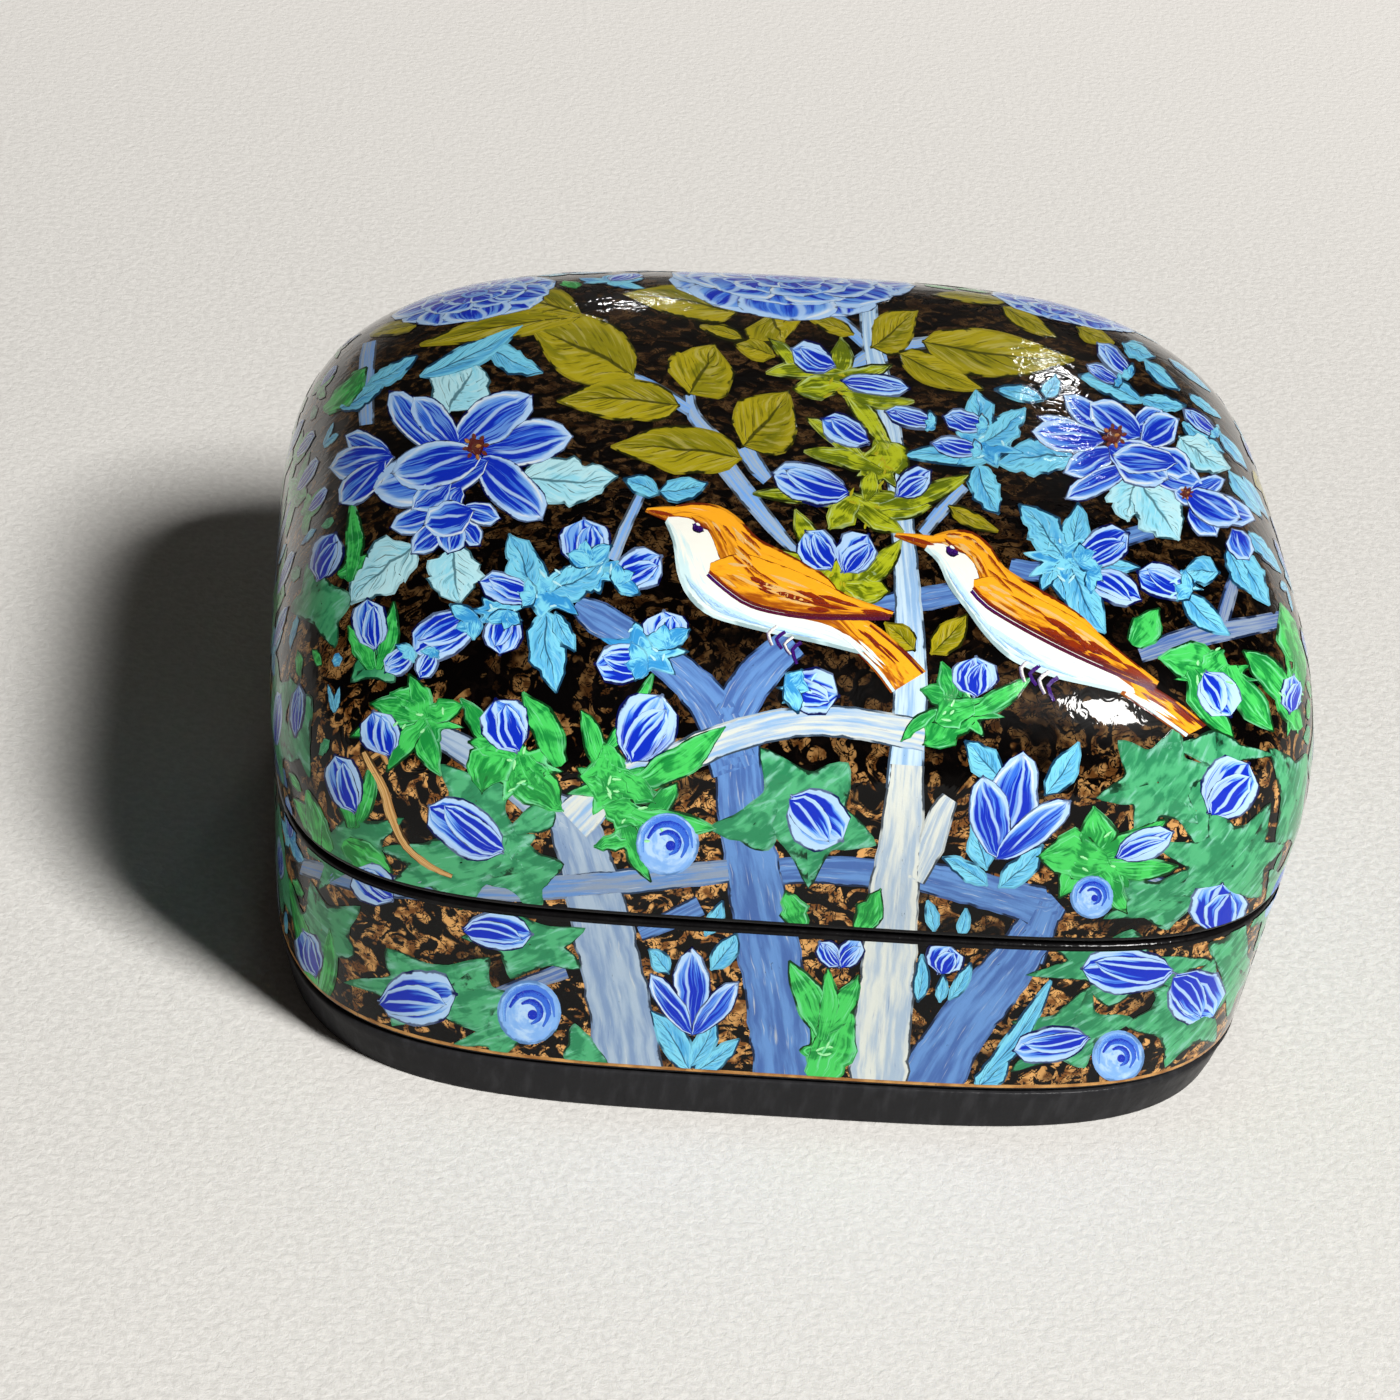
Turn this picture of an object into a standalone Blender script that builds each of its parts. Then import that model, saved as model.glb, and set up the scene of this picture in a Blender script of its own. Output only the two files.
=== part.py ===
"""Papier mache box: a moulded base with a glued-in collar, a lift-off domed lid and a foot board.

Metres, +Z up. The origin is at the middle of the underside, +X runs along the box and -Y is
its front. In plan the box is a squarish oval, a superellipse whose power changes with height.
"""
import math

import bmesh
import bpy

# Outline at the widest level, which lies on the lid just above the seam
HALF_LENGTH = 0.0500
HALF_WIDTH = 0.0450
WIDEST_HEIGHT = 0.0310

# How far the wall stands in from the widest outline, at the underside, foot and seam
UNDERSIDE_INSET = 0.0030
FOOT_INSET = 0.0020
SEAM_INSET = 0.0008

# Levels above the table
FOOT_HEIGHT = 0.0049
SEAM_HEIGHT = 0.0232
CROWN_HEIGHT = 0.0541

# Superellipse powers of the plan: 2 is an ellipse, and more is squarer
FOOT_POWER = 4.0
WALL_POWER = 4.7
CROWN_POWER = 3.0

# Side view of the dome, also a superellipse: powers across and up, and the hand-made lean,
# as rise per length along X at the crown
DOME_ACROSS_POWER = 4.25
DOME_UP_POWER = 2.45
CROWN_LEAN = 0.04

# Moulded paper, and the strip of pasteboard that guides the lid
WALL = 0.0030
MOUTH_BAND = 0.0008
COLLAR_THICKNESS = 0.0015
COLLAR_DEPTH = 0.0090
COLLAR_RISE = 0.0040

# Clearance between pieces that touch or slide, and the rounding of their edges
FIT_GAP = 0.0003
EDGE_ROUND = 0.00035

# Fineness of the meshes
PLAN_SEGMENTS = 72
FLARE_RINGS = 4
CROWN_RINGS = 14
LAST_CROWN_ANGLE = math.radians(89)

BASE_BOTTOM = FOOT_HEIGHT + FIT_GAP
BASE_TOP = SEAM_HEIGHT - FIT_GAP / 2
LID_MOUTH = SEAM_HEIGHT + FIT_GAP / 2


def clear_scene():
    """Remove every object and collection of the opened file."""
    for thing in list(bpy.data.objects):
        bpy.data.objects.remove(thing)
    for group in list(bpy.data.collections):
        bpy.data.collections.remove(group)


def new_collection(name):
    group = bpy.data.collections.new(name)
    bpy.context.scene.collection.children.link(group)
    return group


def paint(name, colour, roughness, coat):
    """A Principled material of one lacquered colour."""
    material = bpy.data.materials.new(name)
    material.use_nodes = True
    shader = material.node_tree.nodes["Principled BSDF"]
    shader.inputs["Base Color"].default_value = (*colour, 1.0)
    shader.inputs["Roughness"].default_value = roughness
    shader.inputs["Metallic"].default_value = 0.0
    shader.inputs["Coat Weight"].default_value = coat
    return material


def blend(low, high, share):
    return low + (high - low) * share


def inset_at(height):
    """How far the outline stands in from the widest one, up to the widest level."""
    if height <= FOOT_HEIGHT:
        return blend(UNDERSIDE_INSET, FOOT_INSET, height / FOOT_HEIGHT)
    if height <= SEAM_HEIGHT:
        return blend(FOOT_INSET, SEAM_INSET, (height - FOOT_HEIGHT) / (SEAM_HEIGHT - FOOT_HEIGHT))
    # Past the seam the wall keeps its slope and then eases to upright at the widest level.
    flare = (height - SEAM_HEIGHT) / (WIDEST_HEIGHT - SEAM_HEIGHT)
    slope = (FOOT_INSET - SEAM_INSET) / (SEAM_HEIGHT - FOOT_HEIGHT)
    run = slope * (WIDEST_HEIGHT - SEAM_HEIGHT)
    return SEAM_INSET * (1 - 3 * flare**2 + 2 * flare**3) - run * flare * (1 - flare) ** 2


def plan_power(height):
    """Power of the plan: rounder at the foot, squarest at the seam, roundest at the crown."""
    if height <= SEAM_HEIGHT:
        return blend(FOOT_POWER, WALL_POWER, height / SEAM_HEIGHT)
    rise = (height - SEAM_HEIGHT) / (CROWN_HEIGHT - SEAM_HEIGHT)
    return blend(WALL_POWER, CROWN_POWER, rise**2)


def wall_ring(height, shape_height=None):
    """Half sizes, power and height of a ring below the widest level.

    shape_height takes the outline from another level, which makes a straight band.
    """
    outline = height if shape_height is None else shape_height
    inset = inset_at(outline)
    return HALF_LENGTH - inset, HALF_WIDTH - inset, plan_power(outline), height


def dome_ring(angle):
    """The dome's ring at an angle of its side view, from 0 at the widest level to the crown."""
    share = math.cos(angle) ** (2 / DOME_ACROSS_POWER)
    climb = math.sin(angle) ** (2 / DOME_UP_POWER)
    height = blend(WIDEST_HEIGHT, CROWN_HEIGHT, climb)
    return HALF_LENGTH * share, HALF_WIDTH * share, plan_power(height), height


def signed_power(value, exponent):
    return math.copysign(abs(value) ** exponent, value)


def place_on_ring(vertex, ring):
    """Move a vertex of the unit circle to the same angle of a superellipse ring."""
    half_length, half_width, power, height = ring
    angle = math.atan2(vertex.co.y, vertex.co.x)
    x = half_length * signed_power(math.cos(angle), 2 / power)
    y = half_width * signed_power(math.sin(angle), 2 / power)
    rise = max(0.0, (height - SEAM_HEIGHT) / (CROWN_HEIGHT - SEAM_HEIGHT))
    vertex.co = (x, y, height + rise * CROWN_LEAN * x)


def stack_rings(name, rings, close_bottom, close_top, group, material):
    """An object whose surface runs through the rings, from the lowest to the highest.

    A unit circle is extruded up by one unit a ring, so a vertex's height names its ring, and
    then each vertex goes to its place.
    """
    mesh = bpy.data.meshes.new(name)
    bm = bmesh.new()
    circle = bmesh.ops.create_circle(bm, cap_ends=False, segments=PLAN_SEGMENTS, radius=1.0)
    edges = list({edge for vertex in circle["verts"] for edge in vertex.link_edges})
    bottom_edges = edges
    for _ in rings[1:]:
        grown = bmesh.ops.extrude_edge_only(bm, edges=edges)["geom"]
        vertices = [item for item in grown if isinstance(item, bmesh.types.BMVert)]
        bmesh.ops.translate(bm, vec=(0, 0, 1), verts=vertices)
        on_top = set(vertices)
        edges = [item for item in grown
                 if isinstance(item, bmesh.types.BMEdge) and on_top.issuperset(item.verts)]
    if close_bottom:
        bmesh.ops.edgenet_fill(bm, edges=bottom_edges)
    if close_top:
        bmesh.ops.edgenet_fill(bm, edges=edges)
    for vertex in bm.verts:
        place_on_ring(vertex, rings[round(vertex.co.z)])
    bmesh.ops.recalc_face_normals(bm, faces=bm.faces)
    bm.to_mesh(mesh)
    bm.free()
    mesh.materials.append(material)
    thing = bpy.data.objects.new(name, mesh)
    group.objects.link(thing)
    return thing


def face_outwards(thing):
    """Turn an open surface so that its faces look away from the box's axis."""
    mesh = thing.data
    outward = sum(face.normal.x * face.center.x + face.normal.y * face.center.y
                  for face in mesh.polygons)
    if outward < 0:
        mesh.flip_normals()


def move_surface_in(thing, distance):
    """Shift an open surface along its normals, towards the inside."""
    shift = thing.modifiers.new("inward", "DISPLACE")
    shift.direction = "NORMAL"
    shift.mid_level = 0.0
    shift.strength = -distance


def thicken_inwards(thing, thickness):
    shell = thing.modifiers.new("thickness", "SOLIDIFY")
    shell.thickness = thickness
    shell.offset = -1.0
    shell.use_even_offset = True


def round_edges(thing, segments):
    bevel = thing.modifiers.new("rounded edges", "BEVEL")
    bevel.width = EDGE_ROUND
    bevel.segments = segments
    bevel.limit_method = "ANGLE"
    bevel.angle_limit = math.radians(45)


def shade_round(thing):
    thing.data.shade_smooth()
    thing.data.set_sharp_from_angle(angle=math.radians(45))


def make_foot_board(group, material):
    """The board under the base, whose edge is the plain band round the foot."""
    rings = [wall_ring(0.0), wall_ring(FOOT_HEIGHT)]
    board = stack_rings("foot_board", rings, True, True, group, material)
    round_edges(board, 2)
    shade_round(board)
    return board


def make_base_shell(group, material):
    """The moulded tray: a floor on the foot board and walls up to the seam."""
    band_start = BASE_TOP - MOUTH_BAND
    rings = [
        wall_ring(BASE_BOTTOM),
        wall_ring((BASE_BOTTOM + band_start) / 2),
        wall_ring(band_start),
        wall_ring(BASE_TOP, band_start),
    ]
    shell = stack_rings("base_shell", rings, True, False, group, material)
    face_outwards(shell)
    thicken_inwards(shell, WALL)
    round_edges(shell, 2)
    shade_round(shell)
    return shell


def make_collar(group, material):
    """The strip glued round the inside of the base, which stands up to guide the lid."""
    levels = [BASE_TOP - COLLAR_DEPTH, BASE_TOP - COLLAR_DEPTH / 2, BASE_TOP - MOUTH_BAND]
    rings = [wall_ring(level) for level in levels]
    rings.append(wall_ring(BASE_TOP + COLLAR_RISE, BASE_TOP - MOUTH_BAND))
    collar = stack_rings("lid_collar", rings, False, False, group, material)
    face_outwards(collar)
    move_surface_in(collar, WALL + FIT_GAP)
    thicken_inwards(collar, COLLAR_THICKNESS)
    round_edges(collar, 1)
    shade_round(collar)
    return collar


def make_lid_shell(group, material):
    """The moulded lid: a straight mouth, a short flare to the widest level, then the dome."""
    mouth = LID_MOUTH + MOUTH_BAND
    rings = [wall_ring(LID_MOUTH, mouth)]
    for step in range(FLARE_RINGS):
        rings.append(wall_ring(blend(mouth, WIDEST_HEIGHT, step / FLARE_RINGS)))
    for step in range(CROWN_RINGS + 1):
        rings.append(dome_ring(LAST_CROWN_ANGLE * step / CROWN_RINGS))
    shell = stack_rings("lid_shell", rings, False, True, group, material)
    face_outwards(shell)
    thicken_inwards(shell, WALL)
    round_edges(shell, 2)
    shade_round(shell)
    return shell


def make_box():
    """All the pieces, at rest with the lid on."""
    clear_scene()
    group = new_collection("papier_mache_box")
    lid_paint = paint("lid_paint", (0.075, 0.130, 0.190), 0.25, 0.8)
    base_paint = paint("base_paint", (0.110, 0.170, 0.150), 0.25, 0.8)
    collar_paint = paint("collar_paint", (0.012, 0.011, 0.010), 0.35, 0.4)
    foot_paint = paint("foot_paint", (0.022, 0.022, 0.023), 0.45, 0.2)
    make_foot_board(group, foot_paint)
    make_base_shell(group, base_paint)
    make_collar(group, collar_paint)
    lid = make_lid_shell(group, lid_paint)

    # The lid lifts straight up, so it hangs from an empty at the middle of its mouth.
    lift = bpy.data.objects.new("lid_lift", None)
    lift.location = (0.0, 0.0, LID_MOUTH)
    group.objects.link(lift)
    lid.parent = lift
    lid.location = (0.0, 0.0, -LID_MOUTH)


make_box()
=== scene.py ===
"""Looks of the papier mache box: lacquered shells over a mottled gold ground, and the painted
flowers, leaves, branches and birds, laid on the shells as thin films of paint.

Metres, in the frame of the CAD. A flat drawing is made on a canvas and then laid on the surface:
the canvas of the photograph counts its pixels, and the canvases of the other sides count mm.
"""
import math
import random

import bmesh
import bpy
import numpy as np
from mathutils import Matrix
from mathutils.kdtree import KDTree


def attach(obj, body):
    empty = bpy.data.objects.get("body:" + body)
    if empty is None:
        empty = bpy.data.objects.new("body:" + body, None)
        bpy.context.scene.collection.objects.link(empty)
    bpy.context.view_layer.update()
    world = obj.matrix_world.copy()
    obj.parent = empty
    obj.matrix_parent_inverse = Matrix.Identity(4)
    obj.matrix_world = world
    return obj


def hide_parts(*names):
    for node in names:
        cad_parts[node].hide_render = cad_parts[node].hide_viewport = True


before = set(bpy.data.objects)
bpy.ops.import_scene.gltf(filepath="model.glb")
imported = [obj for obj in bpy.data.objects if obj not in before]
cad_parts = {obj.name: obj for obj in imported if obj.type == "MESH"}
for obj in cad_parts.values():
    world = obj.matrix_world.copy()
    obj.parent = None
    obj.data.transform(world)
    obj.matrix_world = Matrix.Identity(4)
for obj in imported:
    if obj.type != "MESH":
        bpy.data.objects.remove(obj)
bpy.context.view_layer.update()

# Form of the box, as in its CAD source
HALF_LENGTH = 0.0500
HALF_WIDTH = 0.0450
WIDEST_HEIGHT = 0.0310
UNDERSIDE_INSET = 0.0030
FOOT_INSET = 0.0020
SEAM_INSET = 0.0008
FOOT_HEIGHT = 0.0049
SEAM_HEIGHT = 0.0232
CROWN_HEIGHT = 0.0541
FOOT_POWER = 4.0
WALL_POWER = 4.7
CROWN_POWER = 3.0
DOME_ACROSS_POWER = 4.25
DOME_UP_POWER = 2.45
CROWN_LEAN = 0.04
WALL = 0.0030
MOUTH_BAND = 0.0008
FIT_GAP = 0.0003
EDGE_ROUND = 0.00035
SEAM_ROUND = 0.00055
BASE_BOTTOM = FOOT_HEIGHT + FIT_GAP
BASE_TOP = SEAM_HEIGHT - FIT_GAP / 2
LID_MOUTH = SEAM_HEIGHT + FIT_GAP / 2

# Fineness of the shells
SHELL_SEGMENTS = 256
WALL_RINGS = 16
FLANK_RINGS = 16
CROWN_RINGS = 61
EDGE_STEPS = 5
SHARP_ANGLE = math.radians(40)

# Heights of the tray's lining between its mouth and its floor, the floor's corner, and the band
# round the floor
LINING_DEPTHS = (0.018, 0.013)
FLOOR_CORNER = 0.0002
FLOOR_BAND = 0.0010

# The dome's flank ends at this angle of its side view, and its crown closes at this share
FLANK_END = math.radians(37)
CROWN_START = 0.9
CROWN_END = 0.03

# Thickness of one coat of paint, the share of it left at a patch's edge, and the smallest face,
# in square metres, that a patch keeps
COAT = 0.000012
EDGE_THINNING = 0.6
LEAST_AREA = 1e-13

# Each patch of a film lies higher than the one before by this share of a coat, seven in turn
PATCH_STEP = 0.06

# The seed of a patch's brush marks, from its number
SEED_STEP = 7.31
SEED_SPAN = 97

# The band that the painting leaves at the seam is black: partly the rims' black lacquer, partly painted
# shade of the groove between lid and base.
# How far the painting stops short of the seam, and the gold pinstripe over the foot
SEAM_BLACK_AND_SHADE = 0.00066
PINSTRIPE_LOW = 0.00557
PINSTRIPE_HIGH = 0.00595

# Camera of the photograph
CAMERA_AZIMUTH = math.radians(-6.054)
CAMERA_ELEVATION = math.radians(31.455)
CAMERA_ROLL = math.radians(7.029)
CAMERA_DISTANCE = 0.4758
AIM_HEIGHT = 0.025
AIM_RIGHT = -0.006893
AIM_UP = -0.004588
PHOTO_SIDE = 1400
PHOTO_MIDDLE = PHOTO_SIDE / 2
FOCAL_PIXELS = 4771.1
SENSOR = 36.0

PIXELS_PER_MM = 10.5
MM = 0.001

# A patch up to this many pixels is small. The silhouette smears it where it faces the camera by
# less than GRAZING, and it is then laid as if its middle faced the camera by LEAST_FACING.
SMALL_PATCH = 190
GRAZING = 0.3
LEAST_FACING = 0.45

# Search for the surface: depth on each side of the box's middle, steps, and steps of refinement
CAST_DEPTH = 0.09
CAST_STEPS = 80
CAST_HALVINGS = 16
SETTLE_STEPS = 7
SLOPE_STEP = 1e-5


def blend(low, high, share):
    return low + (high - low) * share


def inset_at(height):
    """How far the outline stands in from the widest one, up to the widest level."""
    height = np.minimum(height, WIDEST_HEIGHT)
    foot = blend(UNDERSIDE_INSET, FOOT_INSET, height / FOOT_HEIGHT)
    wall = blend(FOOT_INSET, SEAM_INSET, (height - FOOT_HEIGHT) / (SEAM_HEIGHT - FOOT_HEIGHT))
    flare = np.clip((height - SEAM_HEIGHT) / (WIDEST_HEIGHT - SEAM_HEIGHT), 0, 1)
    slope = (FOOT_INSET - SEAM_INSET) / (SEAM_HEIGHT - FOOT_HEIGHT)
    run = slope * (WIDEST_HEIGHT - SEAM_HEIGHT)
    mouth = SEAM_INSET * (1 - 3 * flare**2 + 2 * flare**3) - run * flare * (1 - flare) ** 2
    return np.where(height <= FOOT_HEIGHT, foot, np.where(height <= SEAM_HEIGHT, wall, mouth))


def plan_power(height):
    rise = np.clip((height - SEAM_HEIGHT) / (CROWN_HEIGHT - SEAM_HEIGHT), 0, 1)
    wall = blend(FOOT_POWER, WALL_POWER, height / SEAM_HEIGHT)
    return np.where(height <= SEAM_HEIGHT, wall, blend(WALL_POWER, CROWN_POWER, rise**2))


def outside(points):
    """Less than 0 inside the box's outer surface, 0 on it and more than 0 outside."""
    x, y, z = points.T
    lean = CROWN_LEAN / (CROWN_HEIGHT - SEAM_HEIGHT)
    level = np.where(z > SEAM_HEIGHT, (z + lean * x * SEAM_HEIGHT) / (1 + lean * x), z)
    climb = np.clip((level - WIDEST_HEIGHT) / (CROWN_HEIGHT - WIDEST_HEIGHT), 0, None)
    inset = inset_at(level)
    power = plan_power(level)
    along = (np.abs(x) / (HALF_LENGTH - inset)) ** power
    across = (np.abs(y) / (HALF_WIDTH - inset)) ** power
    return (along + across) ** (DOME_ACROSS_POWER / power) + climb**DOME_UP_POWER - 1


def slope_at(points):
    """Gradient of outside(), by small steps along the three axes."""
    shifts = np.eye(3) * SLOPE_STEP
    spread = np.concatenate([points + s for s in shifts] + [points - s for s in shifts])
    ahead, behind = outside(spread).reshape(2, 3, -1)
    return ((ahead - behind) / (2 * SLOPE_STEP)).T


def normal_at(points):
    slope = slope_at(points)
    return slope / np.linalg.norm(slope, axis=1, keepdims=True)


def settle(points):
    """Move points near the outer surface onto it."""
    for _ in range(SETTLE_STEPS):
        slope = slope_at(points)
        points = points - slope * (outside(points) / (slope**2).sum(1))[:, None]
    return points


def camera_axes():
    """Right, up and back of the camera, and its place."""
    azimuth, elevation, roll = CAMERA_AZIMUTH, CAMERA_ELEVATION, CAMERA_ROLL
    level = math.cos(elevation)
    back = np.array([math.sin(azimuth) * level, -math.cos(azimuth) * level, math.sin(elevation)])
    right = np.cross(-back, [0, 0, 1])
    right /= np.linalg.norm(right)
    up = np.cross(right, -back)
    aim = np.array([0, 0, AIM_HEIGHT]) + right * AIM_RIGHT + up * AIM_UP
    rolled_right = right * math.cos(roll) + up * math.sin(roll)
    rolled_up = up * math.cos(roll) - right * math.sin(roll)
    return rolled_right, rolled_up, back, aim + back * CAMERA_DISTANCE


def cast(ways):
    """Where rays from the camera first meet the outer surface, or come nearest to it."""
    start = CAMERA_PLACE
    reach = np.linspace(CAMERA_DISTANCE - CAST_DEPTH, CAMERA_DISTANCE + CAST_DEPTH, CAST_STEPS)
    spots = start + ways[:, None] * reach[None, :, None]
    values = outside(spots.reshape(-1, 3)).reshape(len(ways), -1)
    hit = (values < 0).any(1)
    index = np.where(hit, (values < 0).argmax(1), values.argmin(1))
    low = reach[np.maximum(index - 1, 0)]
    high = reach[index]
    for _ in range(CAST_HALVINGS):
        middle = (low + high) / 2
        inside = outside(start + ways * middle[:, None]) < 0
        high = np.where(inside, middle, high)
        low = np.where(inside, low, middle)
    reach_found = np.where(hit, high, reach[index])
    return settle(start + ways * reach_found[:, None])


CAMERA_RIGHT, CAMERA_UP, CAMERA_BACK, CAMERA_PLACE = camera_axes()


def seen(pixels):
    """Points of the surface that show at pixels of the photograph.

    A small patch that the silhouette would smear is laid from its middle, with less stretch.
    """
    across = (pixels[:, :1] - PHOTO_MIDDLE) * CAMERA_RIGHT
    upward = (PHOTO_MIDDLE - pixels[:, 1:]) * CAMERA_UP
    ways = across + upward - FOCAL_PIXELS * CAMERA_BACK
    ways /= np.linalg.norm(ways, axis=1, keepdims=True)
    points = cast(ways)
    facing = normal_at(points) @ CAMERA_BACK
    if np.ptp(pixels, axis=0).max() > SMALL_PATCH or facing.min() > GRAZING:
        return points
    index = ((pixels - pixels.mean(0)) ** 2).sum(1).argmin()
    apart = (pixels - pixels[index]) / PIXELS_PER_MM * MM
    shift = apart[:, :1] * CAMERA_RIGHT - apart[:, 1:] * CAMERA_UP
    out = normal_at(points[index:index + 1])[0]
    depth = -(shift @ out) / max(facing[index], LEAST_FACING)
    return settle(points[index] + shift + depth[:, None] * CAMERA_BACK)


class Canvas:
    """A flat drawing plane: how its points land on the box, its units to a mm, and its way up."""

    def __init__(self, place, unit=1.0, up=1):
        self.place = place
        self.unit = unit
        self.up = up


def flat(right, up, origin):
    """A canvas in mm on a plane that touches the box or stands outside it."""
    right, up, origin = (np.array(way, float) for way in (right, up, origin))

    def place(spots):
        return settle((spots[:, :1] * right + spots[:, 1:] * up) * MM + origin)
    return Canvas(place)


PHOTO = Canvas(seen, PIXELS_PER_MM, -1)
LEFT = flat((0, -1, 0), (0, 0, 1), (-HALF_LENGTH, 0, 0))
RIGHT = flat((0, 1, 0), (0, 0, 1), (HALF_LENGTH, 0, 0))
REAR = flat((-1, 0, 0), (0, 0, 1), (0, HALF_WIDTH, 0))
TOP = flat((1, 0, 0), (0, 1, 0), (0, 0, CROWN_HEIGHT))


def linear(red, green, blue):
    """An sRGB colour, in parts of 255, as linear light."""
    shares = [c / 255 for c in (red, green, blue)]
    return tuple(s / 12.92 if s <= 0.04045 else ((s + 0.055) / 1.055) ** 2.4 for s in shares)


BLACK = linear(7, 6, 7)
DEEP_BLUE = linear(16, 46, 188)
MID_BLUE = linear(58, 114, 224)
SKY_BLUE = linear(120, 174, 242)
PALE_BLUE = linear(182, 216, 252)
TURQUOISE = linear(128, 216, 242)
PALE_TURQUOISE = linear(190, 236, 244)
DEEP_TURQUOISE = linear(56, 150, 214)
OLIVE_LIGHT = linear(176, 162, 26)
OLIVE_DARK = linear(92, 98, 10)
YELLOW_GREEN = linear(178, 188, 34)
YELLOW_SHADE = linear(94, 110, 12)
LEAF_GREEN = linear(72, 204, 96)
LEAF_PALE = linear(168, 240, 176)
LEAF_SHADE = linear(28, 140, 62)
SAGE = linear(78, 174, 120)
SAGE_SHADE = linear(46, 134, 90)
TRUNK_BLUE = linear(100, 144, 204)
TRUNK_SHADE = linear(72, 106, 170)
TRUNK_PALE = linear(166, 186, 206)
TRUNK_MIST = linear(126, 152, 188)
TRUNK_SKY = linear(200, 224, 240)
TRUNK_DUSK = linear(146, 184, 224)
TRUNK_WHITE = linear(216, 221, 214)
TRUNK_GREY = linear(140, 156, 178)
ORANGE = linear(255, 174, 36)
RUST = linear(140, 46, 14)
RUST_DARK = linear(86, 22, 30)
BELLY = linear(204, 238, 244)
CREAM = linear(250, 250, 240)
PURPLE = linear(58, 16, 110)
OCHRE = linear(188, 134, 70)
OCHRE_PALE = linear(228, 186, 120)
HEART = linear(96, 56, 44)

# Gloss of the lacquered paint: roughness, coat weight and coat roughness
PAINT_GLOSS = (0.34, 1.0, 0.035)
COAT_IOR = 1.24
SPECULAR_LEVEL = 0.03

# Height of the waves in the lacquer
LACQUER_RELIEF = 0.000012


def feed(tree, slot, value):
    """Set a node's input to a number or a colour, or link it to a Number or a socket."""
    if isinstance(value, Number):
        value = value.socket
    if isinstance(value, bpy.types.NodeSocket):
        tree.links.new(value, slot)
    elif isinstance(value, tuple):
        slot.default_value = (*value, 1.0)
    else:
        slot.default_value = value


class Number:
    """A number in a material's nodes; sums and comparisons of it add Math nodes."""

    def __init__(self, tree, socket):
        self.tree = tree
        self.socket = socket

    def math(self, operation, *others, first=None):
        node = self.tree.nodes.new("ShaderNodeMath")
        node.operation = operation
        values = (self, *others) if first is None else (first, self)
        for slot, value in zip(node.inputs, values):
            feed(self.tree, slot, value)
        return Number(self.tree, node.outputs[0])

    def __add__(self, other):
        return self.math("ADD", other)

    def __sub__(self, other):
        return self.math("SUBTRACT", other)

    def __rsub__(self, other):
        return self.math("SUBTRACT", first=other)

    def __mul__(self, other):
        return self.math("MULTIPLY", other)

    def maximum(self, other):
        return self.math("MAXIMUM", other)

    def size(self):
        return self.math("ABSOLUTE")

    def sine(self):
        return self.math("SINE")

    def root(self):
        return self.math("SQRT")

    def ease(self, low, high):
        """0 up to low, 1 past high, and a smooth step between; low may be the higher one."""
        node = self.tree.nodes.new("ShaderNodeMapRange")
        node.interpolation_type = "SMOOTHSTEP"
        self.tree.links.new(self.socket, node.inputs["Value"])
        ends = (min(low, high), max(low, high), float(low > high), float(low < high))
        for name, value in zip(("From Min", "From Max", "To Min", "To Max"), ends):
            node.inputs[name].default_value = value
        return Number(self.tree, node.outputs["Result"])


class Finish:
    """A lacquered material under construction: shade is what is painted so far."""

    def __init__(self, name, roughness, coat, coat_roughness):
        self.material = bpy.data.materials.new(name)
        self.material.use_nodes = True
        self.tree = self.material.node_tree
        self.shader = self.tree.nodes["Principled BSDF"]
        self.shade = BLACK
        for slot, value in (("Roughness", roughness), ("Coat Weight", coat), ("Coat IOR", COAT_IOR),
                            ("Coat Roughness", coat_roughness), ("Specular IOR Level", SPECULAR_LEVEL)):
            self.shader.inputs[slot].default_value = value

    def number(self, socket):
        return Number(self.tree, socket)

    def place(self):
        """The point on the piece, in millimetres."""
        coordinates = self.tree.nodes.new("ShaderNodeTexCoord")
        scale = self.tree.nodes.new("ShaderNodeVectorMath")
        scale.operation = "SCALE"
        scale.inputs["Scale"].default_value = 1 / MM
        self.tree.links.new(coordinates.outputs["Object"], scale.inputs[0])
        return scale.outputs[0]

    def split(self, vector):
        node = self.tree.nodes.new("ShaderNodeSeparateXYZ")
        self.tree.links.new(vector, node.inputs[0])
        return [self.number(output) for output in node.outputs]

    def join(self, x, y, z):
        node = self.tree.nodes.new("ShaderNodeCombineXYZ")
        for slot, value in zip(node.inputs, (x, y, z)):
            feed(self.tree, slot, value)
        return node.outputs[0]

    def noise(self, vector, scale, detail=2.0, distortion=0.0, roughness=0.5):
        node = self.tree.nodes.new("ShaderNodeTexNoise")
        for slot, value in (("Vector", vector), ("Scale", scale), ("Detail", detail),
                            ("Roughness", roughness), ("Distortion", distortion)):
            feed(self.tree, node.inputs[slot], value)
        return self.number(node.outputs[0])

    def attribute(self, name):
        node = self.tree.nodes.new("ShaderNodeAttribute")
        node.attribute_name = name
        return node

    def mix(self, share, low, high):
        node = self.tree.nodes.new("ShaderNodeMix")
        node.data_type = "RGBA"
        for name, value in (("Factor_Float", share), ("A_Color", low), ("B_Color", high)):
            feed(self.tree, next(s for s in node.inputs if s.identifier == name), value)
        return next(s for s in node.outputs if s.identifier == "Result_Color")

    def over(self, share, colour):
        """Lay a colour over what is painted so far."""
        self.shade = self.mix(share, self.shade, colour)

    def done(self, height, distance, strength=1.0):
        """The material, with its colour and a relief."""
        self.tree.links.new(self.shade, self.shader.inputs["Base Color"])
        node = self.tree.nodes.new("ShaderNodeBump")
        for slot, value in (("Distance", distance), ("Strength", strength), ("Height", height)):
            feed(self.tree, node.inputs[slot], value)
        for slot in ("Normal", "Coat Normal"):
            self.tree.links.new(node.outputs[0], self.shader.inputs[slot])
        return self.material


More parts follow.
